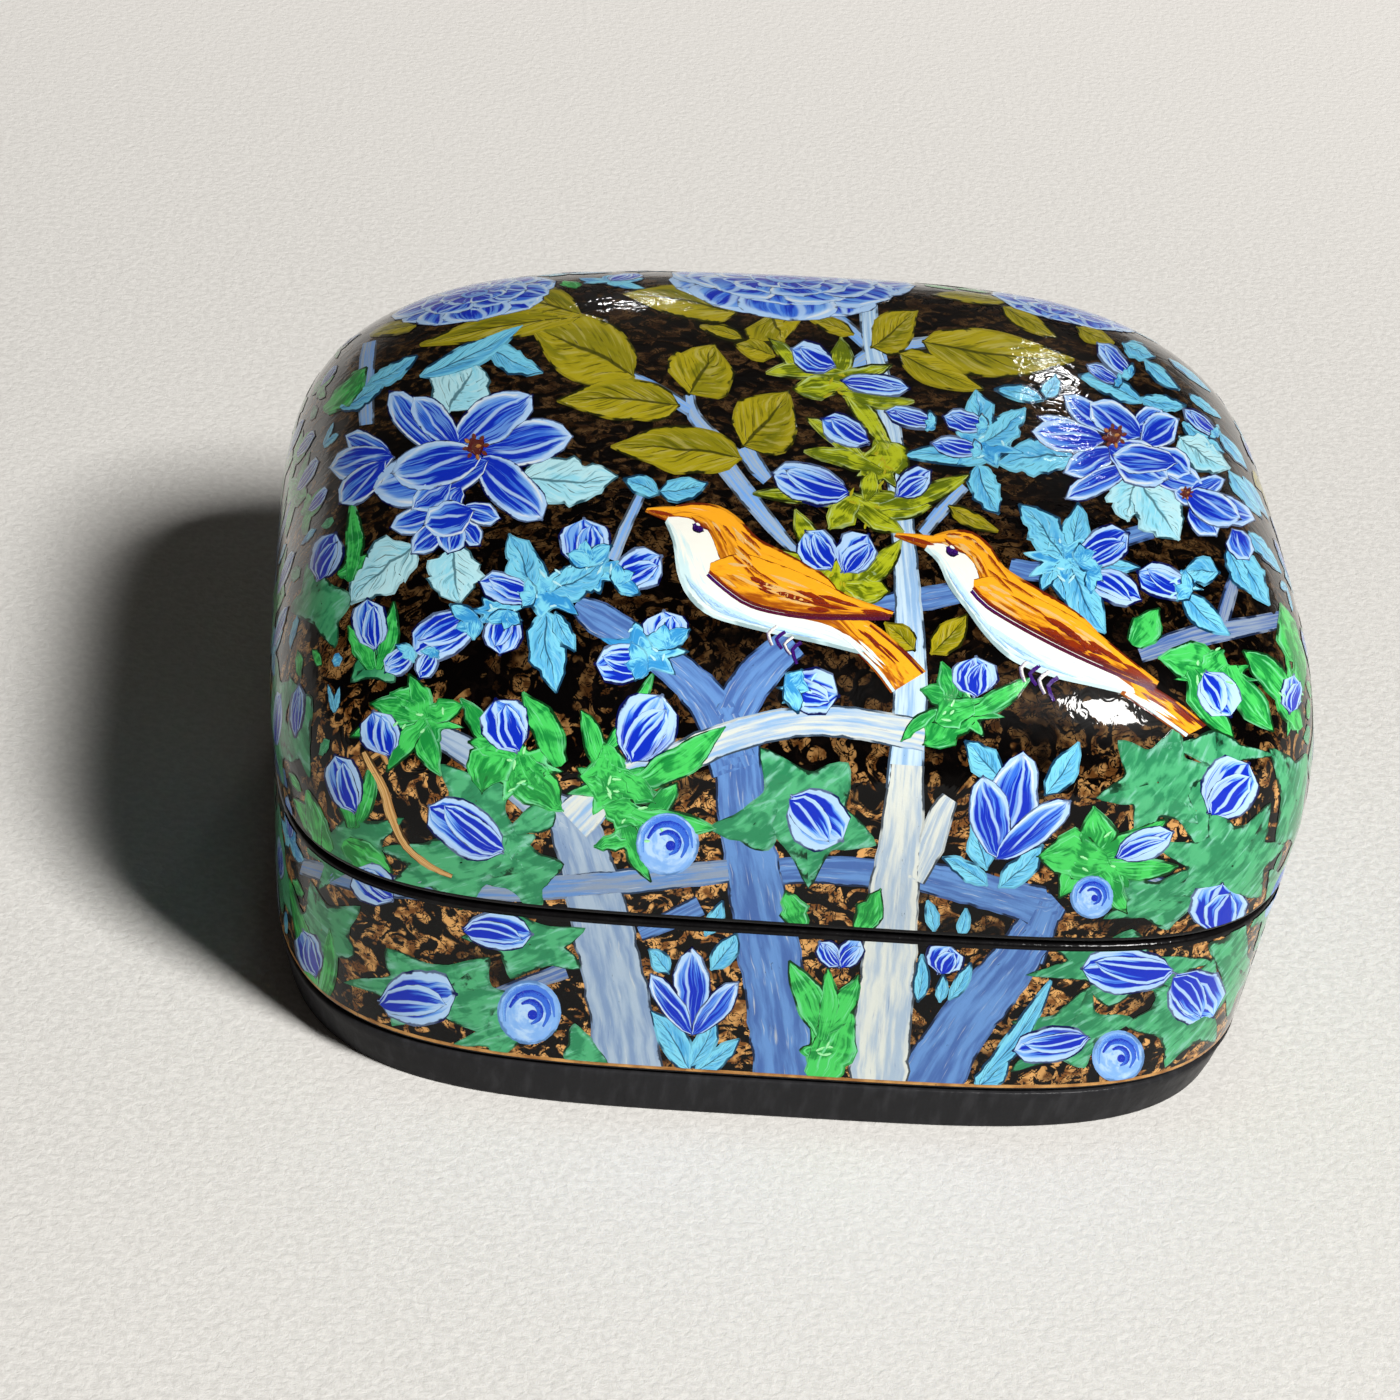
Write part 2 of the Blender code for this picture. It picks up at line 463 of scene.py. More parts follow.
class Brushwork(Finish):
    """Paint on a film: its marks run across (-1 to 1) and along (0 to 1), past these is outline."""

    def __init__(self, name):
        super().__init__(name, *PAINT_GLOSS)
        marks = self.tree.nodes.new("ShaderNodeUVMap")
        marks.uv_map = "marks"
        self.u, self.v, _ = self.split(marks.outputs[0])
        self.seed = self.number(self.attribute("seed").outputs["Fac"])
        self.light = self.attribute("light").outputs["Color"]
        self.dark = self.attribute("dark").outputs["Color"]

    def strokes(self, across, along, shift=0.0, detail=3.0, distortion=0.0):
        """Noise drawn out along the film, about 0."""
        vector = self.join(self.u * across, self.v * along, self.seed + shift)
        return self.noise(vector, 1.0, detail, distortion) - 0.5

    def outlined(self, tip=True, ragged=0.3, broken=0.7, depth=0.85):
        """The material, with a deep shade past the film's edges, along a wavering, broken edge."""
        edge = self.u.size()
        if tip:
            edge = edge.maximum(self.v)
        place = self.place()
        edge = edge + (self.noise(place, 1.1, 3.0) - 0.5) * ragged
        gaps = self.noise(place, 0.3, 1.0).ease(0.52, 0.44) * -broken + 1.0
        self.over(edge.ease(0.96, 1.04) * gaps, self.mix(depth, self.dark, BLACK))
        relief = self.strokes(6.0, 3.0, 31.0) * 1.6 + self.noise(place, 0.16, 2.0) * 4.0
        return self.done(relief + self.noise(place, 0.6, 3.0) * 5.0, LACQUER_RELIEF)


def petal_paint():
    """An open petal: deep blue strokes from its heart over mid blue, pale streaks and a pale edge."""
    paint = Brushwork("petal_paint")
    u, v = paint.u, paint.v
    tip = (v - 0.5).maximum(0.0) * 1.9
    reach = (u * u + tip * tip).root()
    fringe = paint.strokes(4.5, 0.9)
    hairs = paint.strokes(8.0, 1.2, 11.0)
    wash = paint.strokes(2.5, 1.3, 5.0)
    paint.shade = paint.mix((reach + wash * 1.6).ease(0.45, 1.0), MID_BLUE, SKY_BLUE)
    core = (v * 0.75 + u.size() * 0.3 + fringe * 2.2).ease(0.68, 0.52)
    paint.over(core, paint.dark)
    paint.over(hairs.ease(0.05, 0.14) * 0.7, SKY_BLUE)
    paint.over(hairs.ease(-0.05, -0.14) * 0.75, paint.dark)
    bend = (v * 3.0 + paint.seed).sine() * 0.3
    fold = (u - bend).size().ease(0.12, 0.04) * v.ease(0.12, 0.3)
    paint.over(fold * 0.8, paint.light)
    rim = (reach + fringe * 0.35).ease(0.76, 0.9)
    paint.over(rim * 0.9, paint.light)
    white = (reach - 0.94).size().ease(0.08, 0.02) * wash.ease(-0.06, 0.08)
    paint.over(white * 0.6, CREAM)
    return paint.outlined(broken=0.2)


def bud_paint():
    """A closed bud: pale, with deep blue brush marks that rise from its base."""
    paint = Brushwork("bud_paint")
    u, v = paint.u, paint.v
    fringe = paint.strokes(4.0, 0.6)
    hairs = paint.strokes(3.6, 0.5, 8.0, distortion=0.4)
    wash = paint.strokes(2.5, 1.2, 5.0)
    height = v * 0.75 + u * u * 0.5 + fringe * 1.9
    paint.shade = paint.mix((height + wash).ease(1.0, 0.76), paint.light, SKY_BLUE)
    paint.over(height.ease(0.8, 0.66), MID_BLUE)
    paint.over(height.ease(0.68, 0.58), paint.dark)
    paint.over(hairs.ease(0.13, 0.17) * 0.8, paint.light)
    bend = (v * 2.6 + paint.seed).sine() * 0.25
    gap = (u - bend).size().ease(0.14, 0.07)
    paint.over(gap * 0.85, paint.light)
    side = (u.size() + fringe * 0.8).ease(0.72, 0.84)
    paint.over(side * 0.85, paint.light)
    return paint.outlined(broken=0.2)


def leaf_paint():
    """A leaf with a dark rib, one half lighter than the other, and broken slanting veins."""
    paint = Brushwork("leaf_paint")
    u, v = paint.u, paint.v
    side = u + paint.strokes(1.0, 3.0, 3.0) * 0.2
    slant = v * 9.0 - u.size() * 3.5
    hairs = paint.noise(paint.join(u * 1.6, slant * 1.6, paint.seed), 1.0, 4.0) - 0.5
    wash = paint.strokes(2.0, 2.0, 7.0, detail=4.0)
    paint.shade = paint.mix(side.ease(-0.1, 0.1) * 0.38 + 0.14, paint.light, paint.dark)
    paint.over(wash.ease(0.02, 0.16) * 0.4, paint.light)
    paint.over(wash.ease(-0.02, -0.16) * 0.6, paint.dark)
    paint.over(hairs.ease(0.04, 0.14) * 0.5, paint.mix(0.14, paint.light, CREAM))
    deep = paint.mix(0.55, paint.dark, BLACK)
    paint.over(hairs.ease(-0.05, -0.16) * 0.6, deep)
    paint.over(u.size().ease(0.62, 0.94) * 0.5, paint.light)
    veins = (slant * 4.2).sine().ease(0.86, 1.0) * u.size().ease(0.9, 0.3) * wash.ease(-0.02, 0.06)
    paint.over(veins * 0.75, BLACK)
    rib = (side.size() + v * 0.05).ease(0.1, 0.05) * v.ease(0.95, 0.8)
    paint.over(rib * 0.85, paint.mix(0.8, paint.dark, BLACK))
    return paint.outlined(ragged=0.4)


def wash_paint(name, follows_leaf):
    """Gouache laid on with loose brush strokes, lighter touches and a ragged edge."""
    paint = Brushwork(name)
    place = paint.place()
    patches = paint.noise(place, 0.45, 3.0, 0.8) - 0.5
    if follows_leaf:
        streaks = paint.strokes(5.0, 2.0, 2.0, detail=4.0, distortion=0.5)
    else:
        x, y, z = paint.split(place)
        level = x + y
        turn = (x - y) * 0.25 + paint.seed
        drawn = paint.join(level * 0.24 + z * 0.18, z * 1.04 - level * 0.78, turn)
        streaks = paint.noise(drawn, 1.0, 4.0, 0.6) - 0.5
    paint.shade = paint.mix((patches + streaks * 0.7).ease(-0.12, 0.1), paint.dark, paint.light)
    pale = paint.mix(0.4, paint.light, PALE_TURQUOISE)
    paint.over(streaks.ease(0.1, 0.2) * 0.55, pale)
    deep = paint.mix(0.5, paint.dark, BLACK)
    paint.over(streaks.ease(-0.12, -0.24) * (0.75 if follows_leaf else 0.35), deep)
    border = paint.u.size().ease(0.7, 0.95) * streaks.ease(-0.02, 0.1)
    paint.over(border * 0.5, pale)
    return paint.outlined(ragged=0.5)


def bark_paint():
    """Long strokes down a branch, with thin scratches; along counts millimetres."""
    paint = Brushwork("bark_paint")
    strokes = paint.strokes(3.2, 0.16, detail=4.0)
    paint.shade = paint.mix(strokes.ease(-0.14, 0.12), paint.dark, paint.light)
    thin = paint.strokes(11.0, 0.3, 9.0)
    paint.over(thin.ease(0.1, 0.26) * 0.5, TRUNK_WHITE)
    paint.over(thin.ease(-0.14, -0.26) * 0.45, TRUNK_SHADE)
    cracks = paint.strokes(9.0, 0.9, 17.0, distortion=1.5)
    paint.over(cracks.ease(0.22, 0.27) * 0.7, BLACK)
    return paint.outlined(tip=False, ragged=0.4)


def plumage_paint():
    paint = Brushwork("plumage_paint")
    barbs = paint.strokes(5.0, 9.0, detail=4.0, distortion=0.4)
    shade = barbs + paint.u * 0.22 + paint.v * 0.08
    paint.shade = paint.mix(shade.ease(0.0, 0.3) * 0.85, paint.light, paint.dark)
    glint = paint.strokes(7.0, 7.0, 5.0)
    paint.over(glint.ease(0.14, 0.26) * 0.35, CREAM)
    return paint.outlined(tip=False, depth=0.45)


def ground_paint(name, gold):
    """The ground under the painting: gold dabbed over with black, so that it shows in flecks."""
    paint = Finish(name, *PAINT_GLOSS)
    place = paint.place()
    _, _, z = paint.split(place)
    worms = paint.noise(place, 0.40, 2.0, 1.6, 0.5)
    lines = paint.noise(place, 0.8, 2.0, 2.0)
    cracks = (lines - 0.5).size().ease(0.015, 0.05)
    fleck = worms.ease(0.49, 0.54) * cracks
    patch = paint.noise(place, 0.11, 2.0, 0.5)
    low = z.ease(48.0, 33.0)
    amount = low * (1.0 - gold) + gold
    where = patch.ease(0.32, 0.46)
    tone = paint.noise(place, 0.9, 3.0)
    bright = paint.mix(tone.ease(0.4, 0.62), linear(124, 77, 34), linear(226, 170, 102))
    dull = paint.mix(tone.ease(0.4, 0.65), linear(4, 3, 2), linear(28, 16, 8))
    worked = paint.mix(amount * where, dull, bright)
    murk = paint.noise(place, 0.5, 3.0, 1.0)
    black = paint.mix(murk.ease(0.54, 0.68) * 0.7, linear(2, 1, 1), linear(11, 6, 4))
    paint.shade = paint.mix(fleck * 0.95, black, worked)
    return paint.done(worms * 3.5 + paint.noise(place, 0.16, 2.0) * 4.0, LACQUER_RELIEF)


def lacquer_black(name, shade, roughness, coat, coat_roughness=0.2):
    """Plain black lacquer, a little uneven, with lighter streaks."""
    paint = Finish(name, roughness, coat, coat_roughness)
    place = paint.place()
    x, y, z = paint.split(place)
    drag = paint.noise(paint.join(x * 0.9, y * 0.9, z * 0.12), 1.0, 4.0)
    mottle = paint.noise(place, 0.22, 3.0)
    lighter_streak_colour = tuple(c * 2.1 for c in shade)
    paint.shade = paint.mix(drag.ease(0.45, 0.75) * 0.6, shade, lighter_streak_colour)
    paint.over(mottle.ease(0.45, 0.8) * 0.4, tuple(c * 0.5 for c in shade))
    return paint.done(drag + paint.noise(place, 0.9, 2.0) * 0.6, 0.00008)


def gold_line_paint():
    paint = Finish("gold_line_paint", 0.4, 1.0, 0.08)
    place = paint.place()
    dabs = paint.noise(place, 0.55, 3.0)
    paint.shade = paint.mix(dabs.ease(0.3, 0.7), linear(150, 100, 50), linear(208, 156, 92))
    paint.over(paint.noise(place, 1.3, 2.0).ease(0.66, 0.74) * 0.8, BLACK)
    return paint.done(dabs, 0.00003)


# Where the films are cut on each body: a height, and 1 if the film lies above it
BODY_LEVELS = {
    "lid": [(LID_MOUTH + SEAM_BLACK_AND_SHADE, 1)],
    "base": [(BASE_TOP - SEAM_BLACK_AND_SHADE, -1), (PINSTRIPE_HIGH, 1)],
}


class Film:
    """Patches of paint of one kind, gathered until they become one mesh on each body."""

    def __init__(self, name, material, bodies=("lid", "base")):
        self.name = name
        self.material = material
        self.bodies = bodies
        self.points = []
        self.faces = []
        self.marks = []
        self.looks = []
        self.count = 0

    def add(self, points, marks, light, dark, coats):
        """A grid of points, rows by columns, with marks (across, along) for its pattern."""
        rows, columns = points.shape[:2]
        number = len(self.looks)
        spots = points.reshape(-1, 3)
        marks = marks.reshape(-1, 2)
        past_edge = np.abs(marks[:, 0]) > 1
        coats = (coats + PATCH_STEP * (number % 7)) * np.where(past_edge, EDGE_THINNING, 1.0)
        # Faces that a tight bend folds over, or shrinks to nothing, are left out.
        index = np.arange(rows * columns).reshape(rows, columns)
        quads = np.stack([index[:-1, :-1], index[:-1, 1:], index[1:, 1:], index[1:, :-1]], -1)
        quads = quads.reshape(-1, 4)
        corners = spots[quads]
        areas = np.cross(corners[:, 2] - corners[:, 0], corners[:, 3] - corners[:, 1])
        outward = (areas * normal_at(corners[:, 0])).sum(1)
        if outward.sum() < 0:
            quads = quads[:, ::-1]
            outward = -outward
        self.points.append(spots)
        self.faces.append(quads[outward > LEAST_AREA] + self.count)
        self.marks.append(marks)
        self.looks.append((len(spots), light, dark, number * SEED_STEP % SEED_SPAN, coats))
        self.count += len(spots)

    def build(self):
        """Raise the patches by their coats of paint, and make a mesh of them on each body."""
        counts, lights, darks, seeds, coats = zip(*self.looks)
        points = np.concatenate(self.points)
        raised = points + normal_at(points) * (np.concatenate(coats) * COAT)[:, None]
        mesh = bpy.data.meshes.new(self.name)
        mesh.from_pydata(raised.tolist(), [], np.concatenate(self.faces).tolist())
        corner = np.empty(len(mesh.loops), np.int32)
        mesh.loops.foreach_get("vertex_index", corner)
        layer = mesh.uv_layers.new(name="marks")
        layer.uv.foreach_set("vector", np.concatenate(self.marks)[corner].astype(np.float32).ravel())
        for name, colours in (("light", lights), ("dark", darks)):
            shade = mesh.color_attributes.new(name, "FLOAT_COLOR", "POINT")
            values = np.repeat([(*colour, 1.0) for colour in colours], counts, axis=0)
            shade.data.foreach_set("color", values.astype(np.float32).ravel())
        layer = mesh.attributes.new("seed", "FLOAT", "POINT")
        layer.data.foreach_set("value", np.repeat(seeds, counts).astype(np.float32))
        for body in self.bodies:
            self.cut(mesh, body)
        bpy.data.meshes.remove(mesh)

    def cut(self, mesh, body):
        """Keep the part of the film that lies on one body, and hang it there."""
        bm = bmesh.new()
        bm.from_mesh(mesh)
        for height, way in BODY_LEVELS[body]:
            everything = list(bm.verts) + list(bm.edges) + list(bm.faces)
            bmesh.ops.bisect_plane(bm, geom=everything, plane_co=(0, 0, height),
                                   plane_no=(0, 0, way), clear_inner=True)
        if not bm.faces:
            bm.free()
            return
        loose = [vertex for vertex in bm.verts if not vertex.link_faces]
        bmesh.ops.delete(bm, geom=loose, context="VERTS")
        part = bpy.data.meshes.new(f"{body}_{self.name}")
        bm.to_mesh(part)
        bm.free()
        places = np.empty(len(part.vertices) * 3)
        part.vertices.foreach_get("co", places)
        part.shade_smooth()
        part.normals_split_custom_set_from_vertices(normal_at(places.reshape(-1, 3)).tolist())
        part.materials.append(self.material)
        thing = add_object(part.name, part)
        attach(thing, body)


BUD = bud_paint()
LEAF = leaf_paint()
PLUMAGE = plumage_paint()

BRANCHES = Film("branches", bark_paint())
MASSES = Film("green_masses", wash_paint("wash_paint", False))
OLIVE = Film("olive_leaves", LEAF)
BLUE_LEAVES = Film("turquoise_leaves", LEAF)
SEPALS = Film("sepals", wash_paint("sprig_paint", True))
BUDS = Film("buds", BUD)
WRAPS = Film("bud_wraps", BUD)
BLOSSOMS = Film("blossoms", petal_paint())
BIRDS = Film("birds", PLUMAGE, bodies=("lid",))
TOUCHES = Film("touches", PLUMAGE)

FILMS = [BRANCHES, MASSES, OLIVE, BLUE_LEAVES, SEPALS, BUDS, WRAPS, BLOSSOMS, BIRDS, TOUCHES]

# Width of a patch's outline in mm, its mark across, and its marks along before and after the patch
RIM_MM = 0.22
RIM_MARK = 1.3
RIM_BEFORE = -0.12
RIM_AFTER = 1.12

# Spacing in mm of the rows and the columns of a patch, and of the points along a curve
ROW_MM = 0.7
COLUMN_MM = 0.8
LINE_MM = 0.9


def lay(film, canvas, grid, across, along, light, dark, coats):
    """Lay a flat grid of points on the box as a patch of a film; gives its points and marks."""
    marks = np.stack(np.broadcast_arrays(across, along), -1)
    points = canvas.place(grid.reshape(-1, 2)).reshape(*grid.shape[:2], 3)
    film.add(points, marks, light, dark, coats)
    return points, marks


def travelled(line):
    """How far along a line each of its points lies."""
    return np.concatenate([[0], np.cumsum(np.linalg.norm(np.diff(line, axis=0), axis=1))])


def teeth_wave(share, teeth):
    """1 at a tooth's tip, and less behind it."""
    return 1 - 0.26 * ((share * teeth) % 1.0)


def strip_rows(middle, half, rim, columns):
    """Rows of points across a line, with an outline's width past each edge."""
    ahead = np.gradient(middle, axis=0)
    ahead /= np.linalg.norm(ahead, axis=1, keepdims=True) + 1e-12
    side = np.stack([-ahead[:, 1], ahead[:, 0]], 1)
    inner = np.linspace(-1, 1, columns)
    offsets = half[:, None] * inner[None]
    offsets = np.concatenate([-(half + rim)[:, None], offsets, (half + rim)[:, None]], 1)
    marks = np.concatenate([[-RIM_MARK], inner, [RIM_MARK]])
    return middle[:, None] + side[:, None] * offsets[..., None], marks


def blade(film, canvas, base, tip, width, light, dark, coats, bend=0.0, fullness=0.62, belly=0.45,
          teeth=0, rim=RIM_MM, base_width=0.0, point=1.0, wobble=0.07):
    """A petal or leaf from its base to its tip: width at its widest, which lies at belly."""
    base = np.array(base, float)
    tip = np.array(tip, float)
    length = np.linalg.norm(tip - base)
    unit = canvas.unit
    rows = max(int(np.clip(length / unit / ROW_MM, 7, 26)), teeth * 4)
    columns = int(np.clip(width / unit / COLUMN_MM, 4, 9)) | 1
    share = np.linspace(0, 1, rows)
    warp = share ** (math.log(0.5) / math.log(belly))
    half = np.sin(np.pi * warp).clip(0, 1) ** (fullness * blend(1.0, point, share))
    half = np.maximum(half, base_width * (1 - share)) * width / 2
    pick = random.Random(int(abs(base @ (7, 13)) + abs(tip @ (3, 5))))
    knots = np.linspace(0, 1, 7)
    half = half * (1 + np.interp(share, knots, [pick.uniform(-wobble, wobble) for _ in knots]))
    sway = np.interp(share, knots, [0, *(pick.uniform(-wobble, wobble) for _ in knots[2:]), 0])
    if teeth:
        half = half * teeth_wave(share, teeth)
    way = (tip - base) / length
    normal = np.array([-way[1], way[0]])
    middle = base + way * (share * length)[:, None]
    middle = middle + normal * (bend * length * np.sin(np.pi * share) + sway * width * 0.4)[:, None]
    edge = rim * unit
    first = middle[1] - middle[0]
    last = middle[-1] - middle[-2]
    before = middle[0] - first / np.linalg.norm(first) * edge
    after = middle[-1] + last / np.linalg.norm(last) * edge
    middle = np.concatenate([[before], middle, [after]])
    half = np.concatenate([[0.0], half, [0.0]])
    grid, marks = strip_rows(middle, half, edge, columns)
    for row in (0, -1):
        grid[row] = grid[row].mean(0) + (grid[row] - grid[row].mean(0)) * 0.55
    along = np.concatenate([[RIM_BEFORE], share, [RIM_AFTER]])
    lay(film, canvas, grid, marks[None], along[:, None], light, dark, coats)


def smooth_line(knots, spacing):
    """Points along a curve through the knots, about spacing apart."""
    knots = np.array(knots, float)
    ends = np.concatenate([[2 * knots[0] - knots[1]], knots, [2 * knots[-1] - knots[-2]]])
    found = []
    for index in range(1, len(ends) - 2):
        before, start, stop, after = ends[index - 1:index + 3]
        count = max(2, int(np.linalg.norm(stop[:2] - start[:2]) / spacing))
        for share in np.arange(count) / count:
            found.append(0.5 * (2 * start + (stop - before) * share
                                + (2 * before - 5 * start + 4 * stop - after) * share**2
                                + (3 * start - before - 3 * stop + after) * share**3))
    found.append(knots[-1])
    return np.array(found)


def limb(canvas, knots, light, dark, coats, film=BRANCHES, rim=RIM_MM):
    """A trunk or branch through knots of (x, y, width)."""
    unit = canvas.unit
    line = smooth_line(knots, LINE_MM * unit)
    wobble = random.Random(len(line) * 31 + int(line[0][0])).uniform
    half = line[:, 2] / 2 * np.array([1 + wobble(-0.06, 0.06) for _ in line])
    columns = int(np.clip(line[:, 2].max() / unit / COLUMN_MM, 3, 9)) | 1
    grid, marks = strip_rows(line[:, :2], half, rim * unit, columns)
    along = travelled(line[:, :2]) / unit
    points, marks = lay(film, canvas, grid, marks[None], along[:, None], light, dark, coats)
    if film is BRANCHES:
        # A second coat inside the edges hides the outlines of branches that fork off here.
        film.add(points[:, 1:-1], marks[:, 1:-1] * (0.97, 1.0), light, dark, coats + 0.5)


def blob(film, canvas, outline, light, dark, coats, rim=RIM_MM):
    """A patch filled from its middle to a closed outline of points."""
    unit = canvas.unit
    knots = np.array(outline, float)
    closed = np.concatenate([knots[-2:], knots, knots[:2]])
    line = smooth_line(closed, LINE_MM * unit)
    lengths = travelled(line)
    half = len(line) // 2
    away = np.linalg.norm(line - knots[0], axis=1)
    first = np.argmin(away[:half])
    last = half + np.argmin(away[half:])
    line = line[first:last + 1]
    lengths = lengths[first:last + 1] - lengths[first]
    centre = knots.mean(0)
    apart = line - centre
    far = np.linalg.norm(apart, axis=1, keepdims=True)
    rings = int(np.clip(far.max() / unit / COLUMN_MM, 4, 14))
    shares = np.concatenate([np.linspace(0.02, 1, rings), [1.0]])
    grid = centre + apart[None] * shares[:, None, None]
    grid[-1] += apart / np.maximum(far, 1e-9) * rim * unit
    across = np.concatenate([np.linspace(0, 1, rings), [RIM_MARK]])
    around = lengths / lengths[-1]
    lay(film, canvas, grid, across[:, None], around[None], light, dark, coats)


def turned(spot, degrees, length, up=1):
    """A point at a distance from spot, in a direction counted anticlockwise from the right."""
    angle = math.radians(degrees)
    return (spot[0] + math.cos(angle) * length, spot[1] + up * math.sin(angle) * length)


def circle(canvas, spot, radius, step):
    """Points round a spot, a step of degrees apart."""
    return [turned(spot, angle, radius, canvas.up) for angle in range(0, 360, step)]


def bud(canvas, base, tip, width, coats=7):
    """A closed bud: one petal wrapped over another."""
    blade(BUDS, canvas, base, tip, width, PALE_BLUE, DEEP_BLUE, coats, fullness=0.42, belly=0.55)
    side = np.array([-(tip[1] - base[1]), tip[0] - base[0]])
    side = side / np.linalg.norm(side) * width * 0.17
    over = (base[0] + side[0] * 0.4, base[1] + side[1] * 0.4)
    far = (blend(base[0], tip[0], 0.86) + side[0], blend(base[1], tip[1], 0.86) + side[1])
    blade(WRAPS, canvas, over, far, width * 0.58, PALE_BLUE, DEEP_BLUE, coats + 1, bend=-0.06,
          fullness=0.5, rim=0.10)


def sepals(canvas, spot, heading, count, spread, length, width, light, dark, coats):
    """Small leaves fanned out from a spot."""
    for index in range(count):
        share = index / (count - 1)
        reach = length * (1.0 - 0.25 * abs(math.sin(index * 2.3)))
        tip = turned(spot, heading + (share - 0.5) * spread, reach, canvas.up)
        blade(SEPALS, canvas, spot, tip, width, light, dark, coats, bend=0.08 if share > 0.5 else -0.08,
              fullness=0.7, belly=0.42, base_width=0.25)


def heart(spot, size):
    """The brown middle of a blossom, with a ring of small dabs."""
    outline = [turned(spot, angle, size * (0.7 if angle % 80 else 0.5), PHOTO.up)
               for angle in range(0, 360, 40)]
    blob(TOUCHES, PHOTO, outline, HEART, RUST_DARK, 12.2, rim=0.08)
    for index in range(9):
        place = turned(spot, index * 45 + 10, size * 0.55 if index else 0.0, PHOTO.up)
        end = turned(place, index * 45 + 10, size * 0.42, PHOTO.up)
        shade = HEART if index % 3 else OCHRE
        blade(TOUCHES, PHOTO, place, end, size * 0.26, shade, RUST, 13.2, rim=0.03)


def rosette(canvas, spot, radius, rings, turn, coats=7):
    """A full flower seen from the front: rings of petals, the outer one lowest, and a disc."""
    pick = random.Random(int(radius * 100 + turn))
    for ring in range(rings):
        reach = radius * (1 - ring / (rings + 0.4))
        count = max(5, 11 - 2 * ring)
        for index in range(count):
            angle = turn + ring * 17 + 360 * index / count + pick.uniform(-5, 5)
            tip = turned(spot, angle, reach * pick.uniform(0.9, 1.08), canvas.up)
            base = turned(spot, angle, reach * 0.2, canvas.up)
            width = reach * 2.9 * math.sin(math.pi / count)
            height = coats + ring * 1.6 + (index % 3) * 0.5
            blade(BLOSSOMS, canvas, base, tip, width, PALE_BLUE, DEEP_BLUE, height, fullness=0.45,
                  belly=0.62, rim=0.14, wobble=0.03)
    disc = circle(canvas, spot, radius * 0.17, 40)
    blob(BUDS, canvas, disc, SKY_BLUE, DEEP_BLUE, coats + rings * 1.6 + 0.5, rim=0.1)


def tangent_canvas(pixel):
    """A canvas in mm that touches the box where a pixel of the photograph shows it."""
    spot = seen(np.array([pixel], float))[0]
    out = normal_at(spot[None])[0]
    right = CAMERA_RIGHT - out * out.dot(CAMERA_RIGHT)
    right /= np.linalg.norm(right)
    return flat(right, np.cross(out, right), spot)


# Branches of the front and top, as knots of (x, y, width) in pixels of the photograph
CENTRE_TRUNK_TOP = (
    (868, 306, 14), (872, 345, 17), (884, 400, 18), (894, 450, 17), (901, 510, 19), (908, 600, 23),
    (911, 680, 28), (907, 750, 30), (903, 790, 32),
)
CENTRE_TRUNK = (
    (907, 765, 30), (902, 830, 38), (894, 890, 46), (889, 960, 50), (882, 1030, 54), (877, 1110, 57),
)
CENTRE_STUB = ((915, 880, 16), (930, 846, 24), (942, 812, 21), (950, 798, 14))
BLUE_TRUNK = (
    (738, 745, 40), (741, 800, 44), (751, 860, 50), (764, 930, 56), (778, 1000, 60), (792, 1110, 64),
)
BLUE_FORK_LEFT = (
    (736, 770, 44), (716, 714, 40), (690, 682, 33), (664, 660, 28), (632, 638, 26), (598, 618, 30),
    (576, 604, 14),
)
BLUE_FORK_RIGHT = ((722, 742, 34), (744, 694, 38), (768, 664, 34), (794, 642, 30))
PALE_TRUNK = (
    (566, 806, 40), (582, 850, 48), (598, 910, 54), (612, 970, 58), (624, 1030, 62), (632, 1100, 66),
)
PALE_FORK_LEFT = ((574, 820, 40), (536, 800, 30), (498, 772, 26), (462, 748, 24), (434, 733, 18))
PALE_ARC = (
    (572, 822, 40), (612, 786, 32), (662, 766, 30), (722, 740, 30), (784, 724, 26), (844, 722, 28),
    (926, 736, 30),
)
LOW_BRANCH_LEFT = (
    (302, 866, 12), (352, 880, 16), (400, 887, 18), (450, 889, 18), (500, 889, 20), (560, 886, 22),
    (640, 880, 21), (728, 871, 18),
)
LOW_BRANCH_MIDDLE = ((764, 872, 20), (820, 870, 24), (884, 874, 24))
LOW_BRANCH_RIGHT = ((922, 876, 26), (964, 886, 30), (1010, 898, 32), (1046, 908, 36), (1058, 902, 20))
LOW_FORK_RIGHT = ((1050, 904, 22), (1040, 930, 26), (1028, 958, 30))
SLANTED_TRUNK = ((1036, 930, 40), (1006, 972, 46), (964, 1024, 52), (930, 1080, 58), (914, 1110, 60))
LOW_SPUR = ((700, 905, 16), (660, 925, 14), (640, 934, 10))
RIGHT_BRANCH = ((1140, 655, 12), (1170, 644, 17), (1206, 634, 18), (1250, 626, 15), (1290, 618, 14))
RIGHT_TWIG = ((1222, 622, 11), (1228, 600, 11), (1235, 576, 7))
CROSS_BRANCH = ((846, 612, 12), (890, 604, 18), (930, 598, 20), (968, 590, 18))
CROSS_BRANCH_RIGHT = (
    (1010, 566, 12), (1040, 572, 16), (1070, 560, 14), (1120, 540, 14), (1152, 530, 12),
)
LEFT_STEM = ((362, 330, 14), (366, 380, 14), (372, 430, 12))
LONG_TWIG = ((722, 462, 15), (748, 496, 14), (774, 528, 10), (796, 552, 6))
RIGHT_FORK_TWIG = ((922, 534, 8), (942, 510, 9), (964, 486, 8))
BUD_TWIG = ((612, 560, 9), (624, 530, 8), (640, 496, 6))
LEAF_TWIG_ONE = ((689, 395, 7), (694, 416, 9), (720, 444, 11), (738, 458, 12))
LEAF_TWIG_TWO = ((632, 378, 9), (660, 392, 9), (690, 410, 9))
